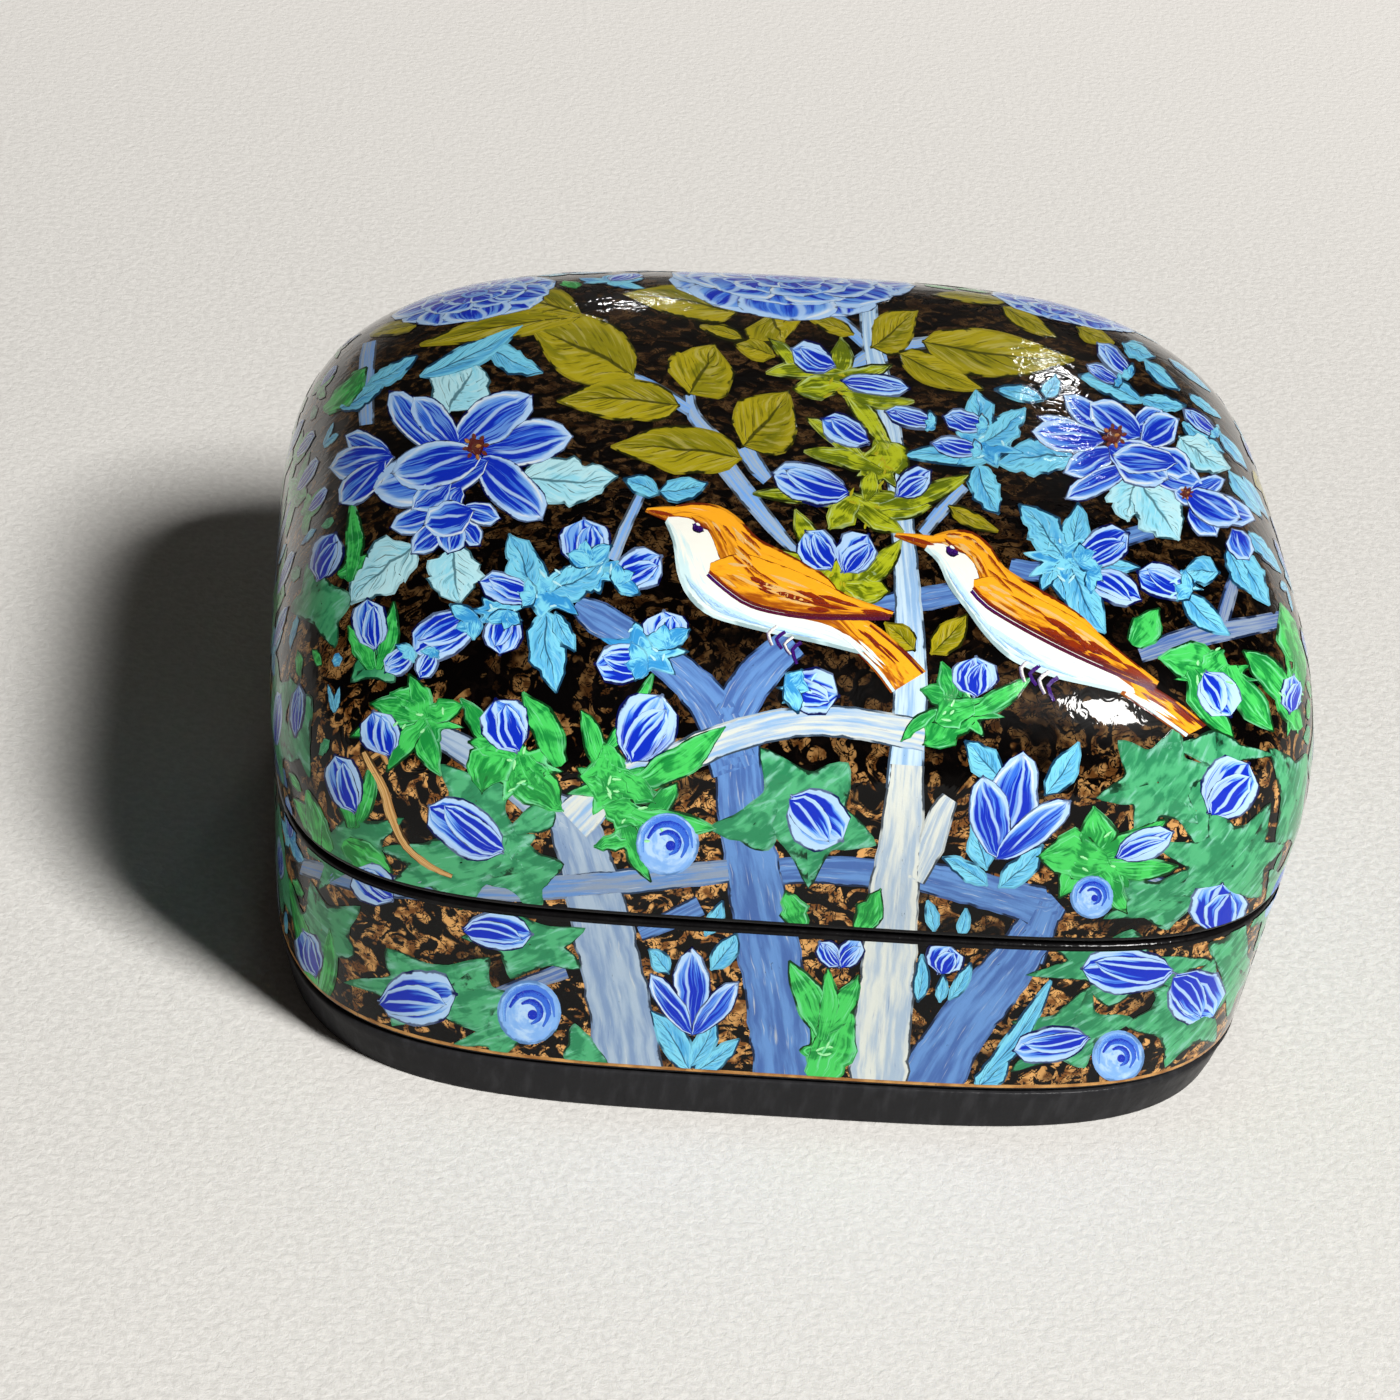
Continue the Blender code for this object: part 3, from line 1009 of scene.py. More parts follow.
LEAF_TWIG_THREE = ((744, 447, 14), (756, 466, 14), (768, 480, 8))
CROWN_TWIG = ((824, 312, 9), (846, 326, 9), (866, 344, 8))
CROWN_TWIG_RIGHT = ((872, 352, 10), (900, 346, 9), (934, 342, 8))
CROWN_CROSS = ((846, 372, 10), (866, 360, 15), (886, 354, 15))
BASE_TWIG = ((452, 1016, 9), (500, 994, 10), (566, 970, 12))
GOLD_STRAND = (
    (364, 752, 5), (372, 768, 8), (384, 790, 7), (392, 818, 9), (406, 846, 8), (430, 866, 7),
    (452, 876, 4),
)
GOLD_CURL = ((372, 758, 4), (382, 752, 6), (388, 764, 4))
SEAM_TWIG = ((1132, 872, 9), (1160, 884, 10), (1180, 892, 9))

# Olive leaves: base, tip, width
OLIVE_LEAVES = {
    "left_large": ((633, 377), (531, 326), 70),
    "fan_upper": ((689, 394), (714, 346), 72),
    "left_long": ((678, 406), (559, 401), 42),
    "middle_long": ((740, 459), (613, 447), 47),
    "fan_lower": ((743, 446), (788, 392), 68),
    "crown_left": ((738, 316), (622, 292), 42),
    "crown_far_left": ((578, 318), (422, 345), 24),
    "crown_far_left_upper": ((580, 315), (496, 296), 34),
    "crown_middle": ((771, 314), (783, 341), 62),
    "crown_small": ((852, 334), (810, 319), 13),
    "crown_right_fan": ((872, 347), (916, 312), 40),
    "right_large": ((924, 342), (1072, 360), 45),
    "right_lower": ((900, 354), (982, 389), 28),
    "crown_right_left": ((1006, 303), (930, 296), 20),
    "crown_right": ((1004, 300), (1055, 340), 24),
    "far_right": ((1078, 328), (1112, 343), 14),
    "far_right_edge": ((1132, 334), (1100, 318), 10),
    "speck_left": ((742, 339), (702, 327), 11),
    "speck_right": ((773, 356), (736, 345), 20),
    "left_edge": ((414, 326), (372, 335), 11),
    "by_trunk_left": ((914, 650), (886, 624), 22),
    "by_trunk_right": ((932, 653), (966, 616), 27),
    "over_bird": ((950, 507), (996, 531), 13),
}

# Turquoise leaves: base, tip, width, teeth. The first ones are pale.
PALE_LEAVES = 7
TURQUOISE_LEAVES = {
    "blossom_top": ((449, 411), (472, 363), 62, 4),
    "blossom_right": ((521, 479), (616, 477), 44, 4),
    "blossom_low_left": ((414, 546), (352, 603), 46, 4),
    "blossom_low_right": ((452, 548), (460, 603), 52, 4),
    "right_blossom_low": ((1138, 480), (1128, 520), 46, 4),
    "right_blossom_low_long": ((1142, 482), (1178, 539), 46, 4),
    "right_blossom_right": ((1180, 438), (1228, 468), 30, 4),
    "upper_long": ((422, 376), (521, 327), 20, 0),
    "upper_short": ((486, 346), (541, 372), 22, 4),
    "edge_upper": ((370, 384), (416, 357), 15, 4),
    "edge_lower": ((340, 408), (384, 383), 15, 4),
    "spray_up": ((530, 590), (510, 536), 34, 3),
    "spray_up_small": ((536, 590), (537, 558), 15, 0),
    "spray_right": ((552, 592), (607, 560), 34, 4),
    "spray_down": ((546, 612), (556, 691), 38, 4),
    "spray_down_small": ((556, 614), (574, 650), 16, 3),
    "pair_left": ((658, 494), (625, 480), 17, 0),
    "pair_right": ((660, 492), (706, 484), 19, 0),
    "right_spray_up": ((979, 438), (976, 392), 26, 0),
    "right_spray_far": ((984, 442), (1024, 410), 28, 4),
    "right_spray_left": ((990, 460), (904, 456), 17, 0),
    "right_spray_down": ((978, 466), (998, 513), 28, 4),
    "thin_upper": ((1042, 400), (996, 390), 13, 0),
    "thin_upper_small": ((1046, 398), (1055, 377), 16, 0),
    "right_blossom_left": ((1072, 457), (998, 463), 36, 4),
    "dark_spray_up_left": ((1064, 560), (1020, 506), 32, 4),
    "dark_spray_up": ((1070, 556), (1078, 505), 24, 0),
    "dark_spray_down": ((1070, 562), (1104, 632), 30, 0),
    "dark_spray_down_left": ((1062, 564), (1069, 603), 18, 0),
    "dark_spray_left": ((1060, 562), (1042, 590), 16, 3),
    "dark_spray_right": ((1086, 560), (1138, 568), 13, 0),
    "small_ring": ((1218, 573), (1185, 572), 22, 0),
    "right_thin": ((1182, 594), (1228, 634), 20, 0),
    "edge_long": ((1232, 470), (1262, 518), 20, 0),
    "edge_top_a": ((1190, 394), (1222, 416), 12, 4),
    "edge_top_b": ((1170, 357), (1212, 390), 12, 0),
    "edge_fan_a": ((1140, 402), (1080, 376), 18, 4),
    "edge_fan_b": ((1142, 399), (1184, 406), 14, 4),
    "edge_fan_c": ((1146, 362), (1178, 389), 10, 0),
    "edge_fan_d": ((1124, 344), (1153, 357), 13, 0),
    "edge_low_a": ((1236, 548), (1268, 604), 24, 4),
    "edge_low_b": ((1250, 532), (1284, 570), 20, 4),
    "edge_low_c": ((1184, 424), (1222, 452), 15, 4),
    "edge_low_d": ((1246, 476), (1270, 520), 16, 0),
    "edge_low_e": ((1222, 432), (1248, 470), 16, 0),
    "edge_low_f": ((1228, 550), (1250, 592), 18, 4),
    "tulip_up_left": ((1000, 780), (966, 742), 24, 0),
    "tulip_up_right": ((1046, 794), (1078, 744), 22, 0),
    "tulip_low_left": ((986, 868), (972, 826), 21, 0),
    "tulip_low_right": ((1000, 886), (1042, 846), 20, 0),
    "tulip_far_left": ((986, 884), (944, 858), 17, 3),
    "base_slender": ((982, 1078), (1050, 982), 15, 0),
    "base_corner": ((976, 1090), (1008, 1054), 20, 0),
    "base_tulip_left": ((690, 1070), (652, 1012), 23, 0),
    "base_tulip_right": ((694, 1072), (738, 1040), 18, 3),
    "base_tulip_middle": ((690, 1066), (716, 1018), 17, 0),
    "base_tulip_up_left": ((668, 972), (650, 950), 14, 0),
    "base_tulip_up_right": ((712, 968), (736, 934), 18, 0),
    "base_seam_bud_left": ((918, 1000), (922, 956), 12, 0),
    "base_seam_bud_right": ((950, 998), (970, 964), 10, 0),
    "under_seam": ((940, 1000), (943, 976), 8, 0),
    "seam_small_left": ((706, 934), (722, 902), 12, 0),
    "over_seam_a": ((934, 930), (928, 902), 10, 0),
    "over_seam_b": ((960, 934), (966, 910), 9, 0),
}

# Buds in turquoise sprays: base, tip, width
TURQUOISE_BUDS = {
    "up": ((588, 566), (584, 520), 48),
    "right": ((616, 584), (661, 557), 40),
    "left": ((476, 618), (414, 652), 44),
    "down": ((508, 612), (500, 654), 36),
    "spray_left": ((534, 598), (480, 582), 30),
    "tiny_left": ((412, 650), (386, 672), 24),
    "tiny": ((434, 650), (420, 678), 18),
    "ring_up": ((666, 648), (664, 612), 46),
    "ring_left": ((646, 664), (596, 664), 40),
    "under_bird": ((786, 686), (838, 696), 46),
    "right_spray_upper": ((986, 428), (944, 417), 21),
    "right_spray_lower": ((980, 452), (932, 444), 19),
    "right_stem": ((934, 424), (886, 412), 19),
    "dark_right_up": ((1078, 562), (1128, 534), 36),
    "dark_right_down": ((1088, 574), (1140, 600), 30),
    "dark_far": ((1190, 592), (1138, 572), 32),
    "edge_small": ((1130, 376), (1098, 344), 17),
    "edge_small_low": ((1120, 384), (1088, 366), 13),
    "edge_ring": ((1216, 436), (1184, 410), 14),
}

# Buds over yellow-green leaves: base, tip, width
YELLOW_BUDS = {
    "crown": ((834, 368), (792, 350), 28),
    "crown_right": ((842, 381), (908, 389), 19),
    "middle": ((868, 444), (822, 420), 28),
    "middle_left": ((848, 496), (773, 474), 38),
    "middle_right": ((896, 496), (930, 472), 26),
    "low_left": ((830, 570), (806, 532), 36),
    "low_right": ((842, 572), (868, 536), 38),
}

# Yellow-green leaves: base, tip, width
YELLOW_LEAVES = {
    "crown_up": ((838, 376), (841, 340), 17),
    "crown_left": ((846, 374), (768, 373), 13),
    "crown_right": ((830, 378), (890, 366), 11),
    "crown_stalk": ((800, 372), (770, 340), 10),
    "second_left": ((846, 388), (794, 389), 18),
    "second_right": ((844, 394), (912, 402), 9),
    "stalk": ((888, 448), (844, 392), 15),
    "third_left": ((862, 460), (808, 419), 12),
    "third_side": ((880, 472), (806, 452), 13),
    "third_full": ((882, 477), (880, 442), 46),
    "fourth_left": ((862, 508), (755, 494), 14),
    "fourth_low": ((856, 500), (830, 528), 24),
    "fourth_long": ((846, 494), (902, 532), 17),
    "fourth_up": ((866, 500), (872, 470), 15),
    "arm_right": ((880, 508), (968, 476), 15),
    "arm_full": ((862, 500), (930, 506), 22),
    "fifth_left": ((824, 594), (796, 512), 20),
    "fifth_side": ((826, 586), (774, 552), 16),
    "fifth_right": ((852, 592), (900, 542), 17),
    "fifth_full": ((838, 606), (838, 560), 60),
    "fifth_low": ((846, 586), (888, 592), 22),
}

# Bright green leaves round the buds of the front: base, tip, width
GREEN_LEAVES = {
    "first_upright": ((600, 768), (582, 712), 17),
    "first_stalk": ((604, 752), (652, 676), 12),
    "first_side": ((626, 782), (580, 776), 34),
    "first_low": ((624, 776), (654, 802), 22),
    "first_arm": ((634, 782), (724, 728), 26),
    "first_centre": ((612, 790), (604, 742), 26),
    "second_arm": ((560, 764), (524, 694), 22),
    "second_side": ((504, 742), (482, 792), 34),
    "second_low": ((520, 758), (562, 810), 34),
    "second_up": ((490, 748), (462, 700), 14),
    "second_left": ((514, 756), (470, 742), 16),
    "third_a": ((424, 722), (388, 770), 15),
    "third_b": ((420, 716), (440, 774), 17),
    "third_c": ((424, 714), (462, 706), 18),
    "third_d": ((420, 716), (372, 704), 18),
    "third_e": ((426, 716), (410, 676), 16),
    "third_f": ((424, 718), (352, 736), 16),
    "third_g": ((428, 712), (392, 694), 20),
    "round_left": ((640, 822), (604, 806), 26),
    "round_arm": ((634, 812), (714, 828), 18),
    "round_stalk": ((624, 812), (650, 880), 15),
    "round_up": ((650, 812), (676, 784), 15),
    "round_spike": ((626, 842), (596, 846), 12),
    "sixth_left": ((952, 706), (942, 664), 15),
    "sixth_low": ((968, 712), (924, 744), 34),
    "sixth_side": ((960, 704), (922, 690), 16),
    "sixth_right": ((972, 712), (1028, 680), 16),
    "sixth_full": ((972, 706), (934, 722), 26),
    "seventh_left": ((1224, 672), (1160, 658), 28),
    "seventh_right": ((1230, 668), (1272, 730), 22),
    "seventh_up": ((1204, 670), (1222, 652), 18),
    "seventh_down": ((1190, 672), (1232, 736), 20),
    "lone_leaf": ((1134, 644), (1158, 610), 24),
    "edge_a": ((1286, 700), (1244, 652), 22),
    "edge_b": ((1290, 660), (1284, 604), 24),
    "edge_c": ((1296, 690), (1300, 624), 20),
    "edge_d": ((1298, 728), (1276, 692), 16),
    "eighth_up": ((1096, 856), (1094, 808), 26),
    "eighth_right": ((1098, 856), (1166, 820), 18),
    "eighth_left": ((1106, 862), (1038, 856), 34),
    "eighth_side": ((1110, 866), (1176, 866), 16),
    "eighth_low": ((1102, 860), (1126, 912), 22),
    "eighth_low_left": ((1092, 862), (1060, 896), 20),
    "over_tulip": ((800, 930), (786, 892), 20),
    "over_tulip_right": ((858, 930), (880, 890), 20),
    "base_vee_left": ((822, 1034), (790, 962), 20),
    "base_vee_right": ((820, 1034), (858, 976), 19),
    "base_vee_middle": ((822, 1038), (828, 970), 16),
    "base_large": ((814, 1080), (852, 1010), 34),
    "low_twig_leaf": ((934, 712), (902, 740), 10),
    "left_edge_high": ((326, 410), (366, 369), 17),
    "left_edge_upright": ((350, 580), (352, 503), 13),
    "left_edge_side": ((340, 574), (366, 556), 10),
    "left_edge_low": ((378, 668), (394, 604), 14),
    "left_edge_low_side": ((372, 668), (350, 628), 16),
    "left_corner_a": ((352, 826), (330, 770), 14),
    "left_corner_b": ((356, 826), (372, 764), 13),
    "left_corner_c": ((330, 850), (296, 800), 15),
    "left_corner_d": ((346, 842), (392, 872), 22),
    "left_corner_e": ((318, 846), (308, 792), 12),
    "left_base_a": ((310, 1000), (296, 900), 14),
    "left_base_b": ((318, 1010), (330, 930), 13),
    "left_base_c": ((300, 960), (292, 880), 12),
}

# Sage green patches under the buds of the front: middle, half length, half height, tilt, lobes
SAGE_PATCHES = {
    "large_star": ((806, 812), 62, 50, -38, 5),
    "large_arm": ((752, 826), 30, 22, 10, 3),
    "left_upper": ((476, 800), 42, 26, -35, 4),
    "left_large": ((462, 862), 74, 36, 8, 6),
    "left_edge": ((322, 604), 24, 36, 20, 4),
    "left_edge_bud": ((374, 660), 22, 22, 0, 4),
    "left_corner": ((352, 846), 44, 28, 30, 5),
    "left_face": ((300, 726), 12, 46, 4, 4),
    "left_base_corner": ((322, 930), 34, 34, 20, 5),
    "left_arm": ((536, 818), 26, 14, 35, 3),
    "left_low": ((524, 872), 34, 30, -12, 4),
    "right_large": ((1158, 782), 48, 44, 30, 6),
    "right_arm": ((1196, 810), 18, 34, 0, 3),
    "right_over": ((1216, 750), 46, 14, -6, 4),
    "corner": ((1232, 866), 60, 48, 20, 7),
    "corner_low": ((1160, 900), 44, 24, 5, 5),
    "far_right": ((1296, 800), 22, 52, 4, 4),
    "base_seam": ((530, 944), 50, 26, -10, 5),
    "base_left": ((440, 992), 78, 34, -8, 6),
    "base_left_low": ((512, 1028), 44, 20, 20, 5),
    "base_right": ((1120, 968), 76, 28, -6, 6),
    "base_right_low": ((1066, 1034), 52, 30, 20, 5),
    "base_corner": ((1190, 1012), 52, 44, 30, 6),
    "base_edge": ((1236, 966), 22, 46, 16, 4),
    "base_leaf": ((584, 1050), 22, 14, -40, 3),
}

# Patches where the leaves of a spray meet: middle, half length, half height
GREEN_HUBS = (
    ((612, 786), 36, 25), ((520, 768), 40, 27), ((422, 722), 36, 18), ((640, 824), 28, 18),
    ((962, 712), 34, 20), ((1216, 676), 38, 16), ((1104, 864), 42, 21), ((1292, 694), 12, 36),
    ((822, 1052), 18, 28),
)
TURQUOISE_HUBS = (
    ((546, 592), 36, 25), ((592, 572), 28, 18), ((646, 652), 38, 24), ((984, 446), 36, 18),
    ((1066, 560), 36, 22), ((1180, 586), 20, 12), ((804, 690), 22, 14), ((498, 612), 24, 14),
)
YELLOW_HUBS = (
    ((836, 384), 28, 12), ((880, 466), 22, 22), ((866, 504), 38, 14), ((838, 592), 32, 20),
)

# Buds of the front and their widths: base, tip, width
FRONT_BUDS = {
    "first": ((628, 760), (662, 696), 60),
    "second": ((516, 752), (496, 700), 48),
    "dark_left": ((388, 756), (374, 712), 38),
    "left_edge_high": ((318, 580), (336, 534), 30),
    "left_edge_low": ((374, 650), (368, 600), 34),
    "left_corner": ((354, 812), (336, 756), 34),
    "left_face": ((296, 736), (300, 686), 12),
    "left_seam": ((392, 900), (356, 868), 36),
    "left_base": ((316, 976), (304, 930), 24),
    "large_star": ((792, 796), (842, 840), 56),
    "left_large": ((502, 852), (430, 806), 50),
    "sixth": ((974, 696), (976, 658), 46),
    "seventh": ((1206, 672), (1230, 716), 42),
    "edge": ((1288, 712), (1296, 676), 26),
    "right_round": ((1208, 812), (1248, 764), 56),
    "slanted": ((1116, 856), (1172, 832), 28),
    "corner_bell": ((1212, 932), (1222, 884), 54),
    "base_seam": ((464, 928), (532, 934), 36),
    "base_left": ((380, 1000), (456, 994), 54),
    "base_right": ((1172, 972), (1082, 968), 44),
    "base_corner": ((1176, 974), (1212, 1016), 56),
    "base_dark": ((1088, 1038), (1014, 1050), 32),
    "base_twin": ((938, 972), (950, 946), 36),
    "seam_tulip_left": ((838, 966), (820, 942), 20),
    "seam_tulip_right": ((840, 966), (860, 940), 22),
}

# Round buds seen from the tip: middle and radius
ROUND_BUDS = {
    "front": ((667, 843), 30),
    "by_tulip": ((1092, 896), 20),
    "base_left": ((529, 1012), 30),
    "base_right": ((1118, 1056), 24),
}

# Petals of the blossoms: base, tip, width, coats
LEFT_BLOSSOM = {
    "right": ((478, 452), (572, 437), 40, 7),
    "right_low": ((478, 458), (542, 520), 44, 7.5),
    "top_right": ((454, 447), (532, 396), 44, 7.5),
    "top_left": ((440, 452), (390, 392), 32, 7),
    "top": ((458, 448), (414, 398), 30, 7.5),
    "bowl_outer": ((488, 462), (373, 490), 54, 8),
    "low": ((452, 484), (412, 510), 26, 8.5),
    "low_right": ((462, 488), (444, 512), 22, 8.5),
    "bowl": ((482, 458), (392, 474), 44, 9),
}
LOWER_BLOSSOM = {
    "left": ((450, 512), (391, 528), 24, 8),
    "right": ((460, 510), (500, 519), 20, 8),
    "low_left": ((450, 518), (412, 554), 26, 8.5),
    "low_right": ((460, 520), (480, 546), 20, 8.5),
    "low": ((456, 520), (448, 554), 28, 9),
    "bowl": ((474, 512), (424, 526), 36, 9.5),
}
EDGE_BLOSSOM = {
    "upper": ((392, 456), (346, 436), 24, 7),
    "middle": ((394, 458), (330, 468), 34, 7.5),
    "lower": ((386, 462), (340, 504), 28, 8),
}
RIGHT_BLOSSOM = {
    "up_left": ((1114, 434), (1064, 396), 24, 7),
    "up": ((1140, 438), (1090, 404), 34, 7.5),
    "up_right": ((1134, 432), (1162, 411), 24, 7),
    "right_top": ((1140, 444), (1178, 420), 32, 7.5),
    "left": ((1104, 442), (1032, 432), 30, 7.5),
    "left_thin": ((1100, 436), (1038, 417), 12, 7),
    "low_left": ((1116, 452), (1064, 473), 28, 7),
    "low": ((1130, 466), (1066, 499), 24, 7.5),
    "low_right": ((1146, 470), (1202, 484), 28, 7),
    "right": ((1150, 452), (1190, 474), 30, 7.5),
    "bowl_outer": ((1108, 446), (1168, 480), 40, 8.5),
    "bowl": ((1176, 464), (1112, 456), 30, 9),
}
SMALL_RIGHT_BLOSSOM = {
    "up": ((1186, 496), (1224, 480), 20, 7),
    "right": ((1200, 500), (1254, 520), 26, 7.5),
    "low": ((1190, 506), (1216, 536), 28, 7),
    "left": ((1200, 500), (1174, 492), 18, 7),
    "bowl": ((1184, 494), (1240, 520), 32, 8.5),
    "tail": ((1232, 530), (1248, 560), 24, 8),
}
TULIP = {
    "middle": ((998, 856), (1023, 752), 48, 7),
    "left": ((998, 858), (983, 776), 40, 8),
    "right": ((996, 858), (1070, 801), 32, 8.5),
}
BASE_TULIP = {
    "middle": ((692, 1034), (692, 948), 36, 7),
    "left": ((692, 1034), (651, 974), 22, 8),
    "right": ((692, 1034), (738, 982), 24, 8.5),
}

# Hearts of the blossoms: middle and size
HEARTS = {
    "left_blossom": ((476, 448), 14),
    "right_blossom": ((1114, 437), 13),
    "small_right_blossom": ((1186, 494), 7),
}

# Rosettes of the crown: the pixel where their canvas touches the box, and in mm how far behind it
# their middle lies and their radius, then the rings of petals and their turn in degrees
ROSETTES = {
    "middle": ((786, 284), 2.0, 12.5, 4, 8),
    "left": ((474, 300), 2.0, 8.5, 3, 15),
    "right": ((1068, 312), 2.5, 8.0, 3, 25),
}

# The birds, from the beak's tip to the tail's: lines of (along, above), in shares of the length
FIRST_BIRD = {
    "beak": (646, 511), "tail": (914, 687),
    "back": ((0.07, 0.055), (0.12, 0.098), (0.19, 0.130), (0.27, 0.128), (0.34, 0.110),
        (0.46, 0.124), (0.60, 0.128), (0.72, 0.070)),
    "parting": ((0.07, 0.022), (0.12, 0.052), (0.19, 0.058), (0.25, 0.020), (0.31, -0.022),
        (0.42, -0.046), (0.56, -0.024), (0.68, 0.016), (0.80, 0.014)),
    "belly": ((0.07, 0.012), (0.13, -0.030), (0.18, -0.090), (0.25, -0.140), (0.34, -0.156),
        (0.45, -0.126), (0.57, -0.082), (0.69, -0.036), (0.81, 0.006)),
    "wing_top": ((0.26, -0.030), (0.32, 0.046), (0.44, 0.084), (0.58, 0.110), (0.70, 0.124),
        (0.82, 0.156)),
    "wing_low": ((0.27, -0.052), (0.34, -0.062), (0.44, -0.060), (0.58, -0.006), (0.70, 0.066),
        (0.82, 0.146)),
    "tail_top": ((0.66, 0.058), (0.78, 0.084), (0.90, 0.072), (1.00, 0.050)),
    "tail_low": ((0.68, -0.004), (0.76, 0.004), (0.87, -0.016), (0.955, -0.046)),
    "eye": (0.165, 0.046),
    "feet": (0.56, -0.092),
}
SECOND_BIRD = {
    "beak": (895, 536), "tail": (1199, 733),
    "back": ((0.09, 0.052), (0.13, 0.094), (0.18, 0.118), (0.24, 0.112), (0.30, 0.084),
        (0.42, 0.086), (0.56, 0.088), (0.70, 0.052)),
    "parting": ((0.09, 0.030), (0.13, 0.056), (0.19, 0.062), (0.24, 0.046), (0.28, 0.010),
        (0.40, 0.000), (0.54, 0.008), (0.66, 0.010), (0.78, 0.004)),
    "belly": ((0.09, 0.020), (0.14, 0.010), (0.20, -0.028), (0.27, -0.054), (0.36, -0.088),
        (0.46, -0.104), (0.58, -0.080), (0.68, -0.044), (0.79, -0.004)),
    "wing_top": ((0.25, 0.014), (0.30, 0.056), (0.42, 0.066), (0.56, 0.078), (0.70, 0.064),
        (0.83, 0.052)),
    "wing_low": ((0.26, -0.004), (0.32, -0.018), (0.44, -0.014), (0.58, 0.000), (0.71, 0.020),
        (0.83, 0.042)),
    "tail_top": ((0.66, 0.022), (0.78, 0.026), (0.90, 0.030), (1.00, 0.020)),
    "tail_low": ((0.67, -0.014), (0.77, -0.018), (0.88, -0.020), (0.975, -0.024)),
    "eye": (0.155, 0.052),
    "feet": (0.52, -0.098),
}


# Points from one lobe's tip to the next
LOBE_STEPS = 6


def lobed_outline(middle, half_length, half_height, tilt, lobes, up, seed):
    """A closed outline with pointed lobes, for patches of leaves."""
    pick = random.Random(seed)
    spots = []
    angle = math.radians(tilt)
    shift = pick.random() * 6.28
    tallness = [pick.uniform(0.8, 1.15) for _ in range(lobes)]
    for index in range(lobes * LOBE_STEPS):
        around = 2 * math.pi * index / (lobes * LOBE_STEPS)
        wave = 1 - abs(math.sin(lobes * around / 2))
        tall = tallness[int(index / LOBE_STEPS + 0.5) % lobes]
        reach = 0.6 + (0.58 * tall - 0.1) * wave + pick.uniform(-0.05, 0.05)
        x = math.cos(around + shift) * half_length * reach
        y = math.sin(around + shift) * half_height * reach
        spots.append((middle[0] + x * math.cos(angle) - y * math.sin(angle),
                      middle[1] + up * (x * math.sin(angle) + y * math.cos(angle))))
    return spots


def round_bud(canvas, middle, radius, coats=8):
    """A bud seen from its tip: a disc with pale and deep crescents wound round it."""
    blob(TOUCHES, canvas, circle(canvas, middle, radius, 30), PALE_BLUE, SKY_BLUE, coats)
    crescents = ((0.86, SKY_BLUE, 0.2), (0.66, DEEP_BLUE, 0.24), (0.38, DEEP_BLUE, 0.22))
    for index, (share, colour, width) in enumerate(crescents):
        turn = 200 - index * 35
        knots = [(*turned(middle, turn - step * 42, radius * share, canvas.up),
                  radius * width * math.sin(math.pi * (step + 0.6) / 6)) for step in range(6)]
        limb(canvas, knots, colour, MID_BLUE, coats + 1 + index * 0.5, film=TOUCHES, rim=0.04)
    core = turned(middle, -30, radius * 0.14, canvas.up)
    disc = circle(canvas, core, radius * 0.16, 45)
    blob(TOUCHES, canvas, disc, DEEP_BLUE, DEEP_BLUE, coats + 3, rim=0.03)


def feathered_strip(upper, lower, light, dark, coats, rim=0.28, columns=5):
    """A strip of plumage between two lines that run the same way."""
    lines = [smooth_line(knots, COLUMN_MM * PIXELS_PER_MM) for knots in (upper, lower)]
    share = np.linspace(0, 1, max(len(lines[0]), len(lines[1]), 6))

    def spread(line):
        lengths = travelled(line)
        return np.stack([np.interp(share * lengths[-1], lengths, axis) for axis in line.T], 1)
    first, second = (spread(line) for line in lines)
    across = np.linspace(0, 1, columns)
    grid = first[:, None] + (second - first)[:, None] * across[None, :, None]
    apart = second - first
    apart /= np.linalg.norm(apart, axis=1, keepdims=True) + 1e-9
    edge = rim * PIXELS_PER_MM
    grid = np.concatenate([(first - apart * edge)[:, None], grid, (second + apart * edge)[:, None]], 1)
    marks = np.concatenate([[-RIM_MARK], np.linspace(-1, 1, columns), [RIM_MARK]])
    lay(BIRDS, PHOTO, grid, marks[None], share[:, None], light, dark, coats)


# Loose strokes on a bird between two of its lines: how many, from where to where along and across,
# their reach and width in shares of its length, and their colours
BIRD_STROKES = (
    ("parting", "belly", 8, (0.15, 0.75), (0.84, 0.97), 0.2, 0.012, BELLY, SKY_BLUE),
    ("back", "parting", 9, (0.02, 0.6), (0.1, 0.7), 0.12, 0.010, RUST, ORANGE),
    ("back", "parting", 6, (0.05, 0.5), (0.2, 0.9), 0.12, 0.009, OCHRE_PALE, ORANGE),
    ("wing_top", "wing_low", 9, (0.02, 0.6), (0.1, 0.9), 0.16, 0.011, OCHRE_PALE, ORANGE),
    ("wing_top", "wing_low", 10, (0.3, 0.66), (0.4, 0.9), 0.12, 0.016, RUST, RUST_DARK),
    ("wing_top", "wing_low", 6, (0.6, 0.86), (0.15, 0.9), 0.16, 0.012, RUST, RUST_DARK),
    ("tail_top", "tail_low", 4, (0.05, 0.7), (0.1, 0.6), 0.3, 0.008, RUST, RUST_DARK),
    ("tail_top", "tail_low", 4, (0.1, 0.6), (0.6, 0.9), 0.3, 0.009, CREAM, BELLY),
)


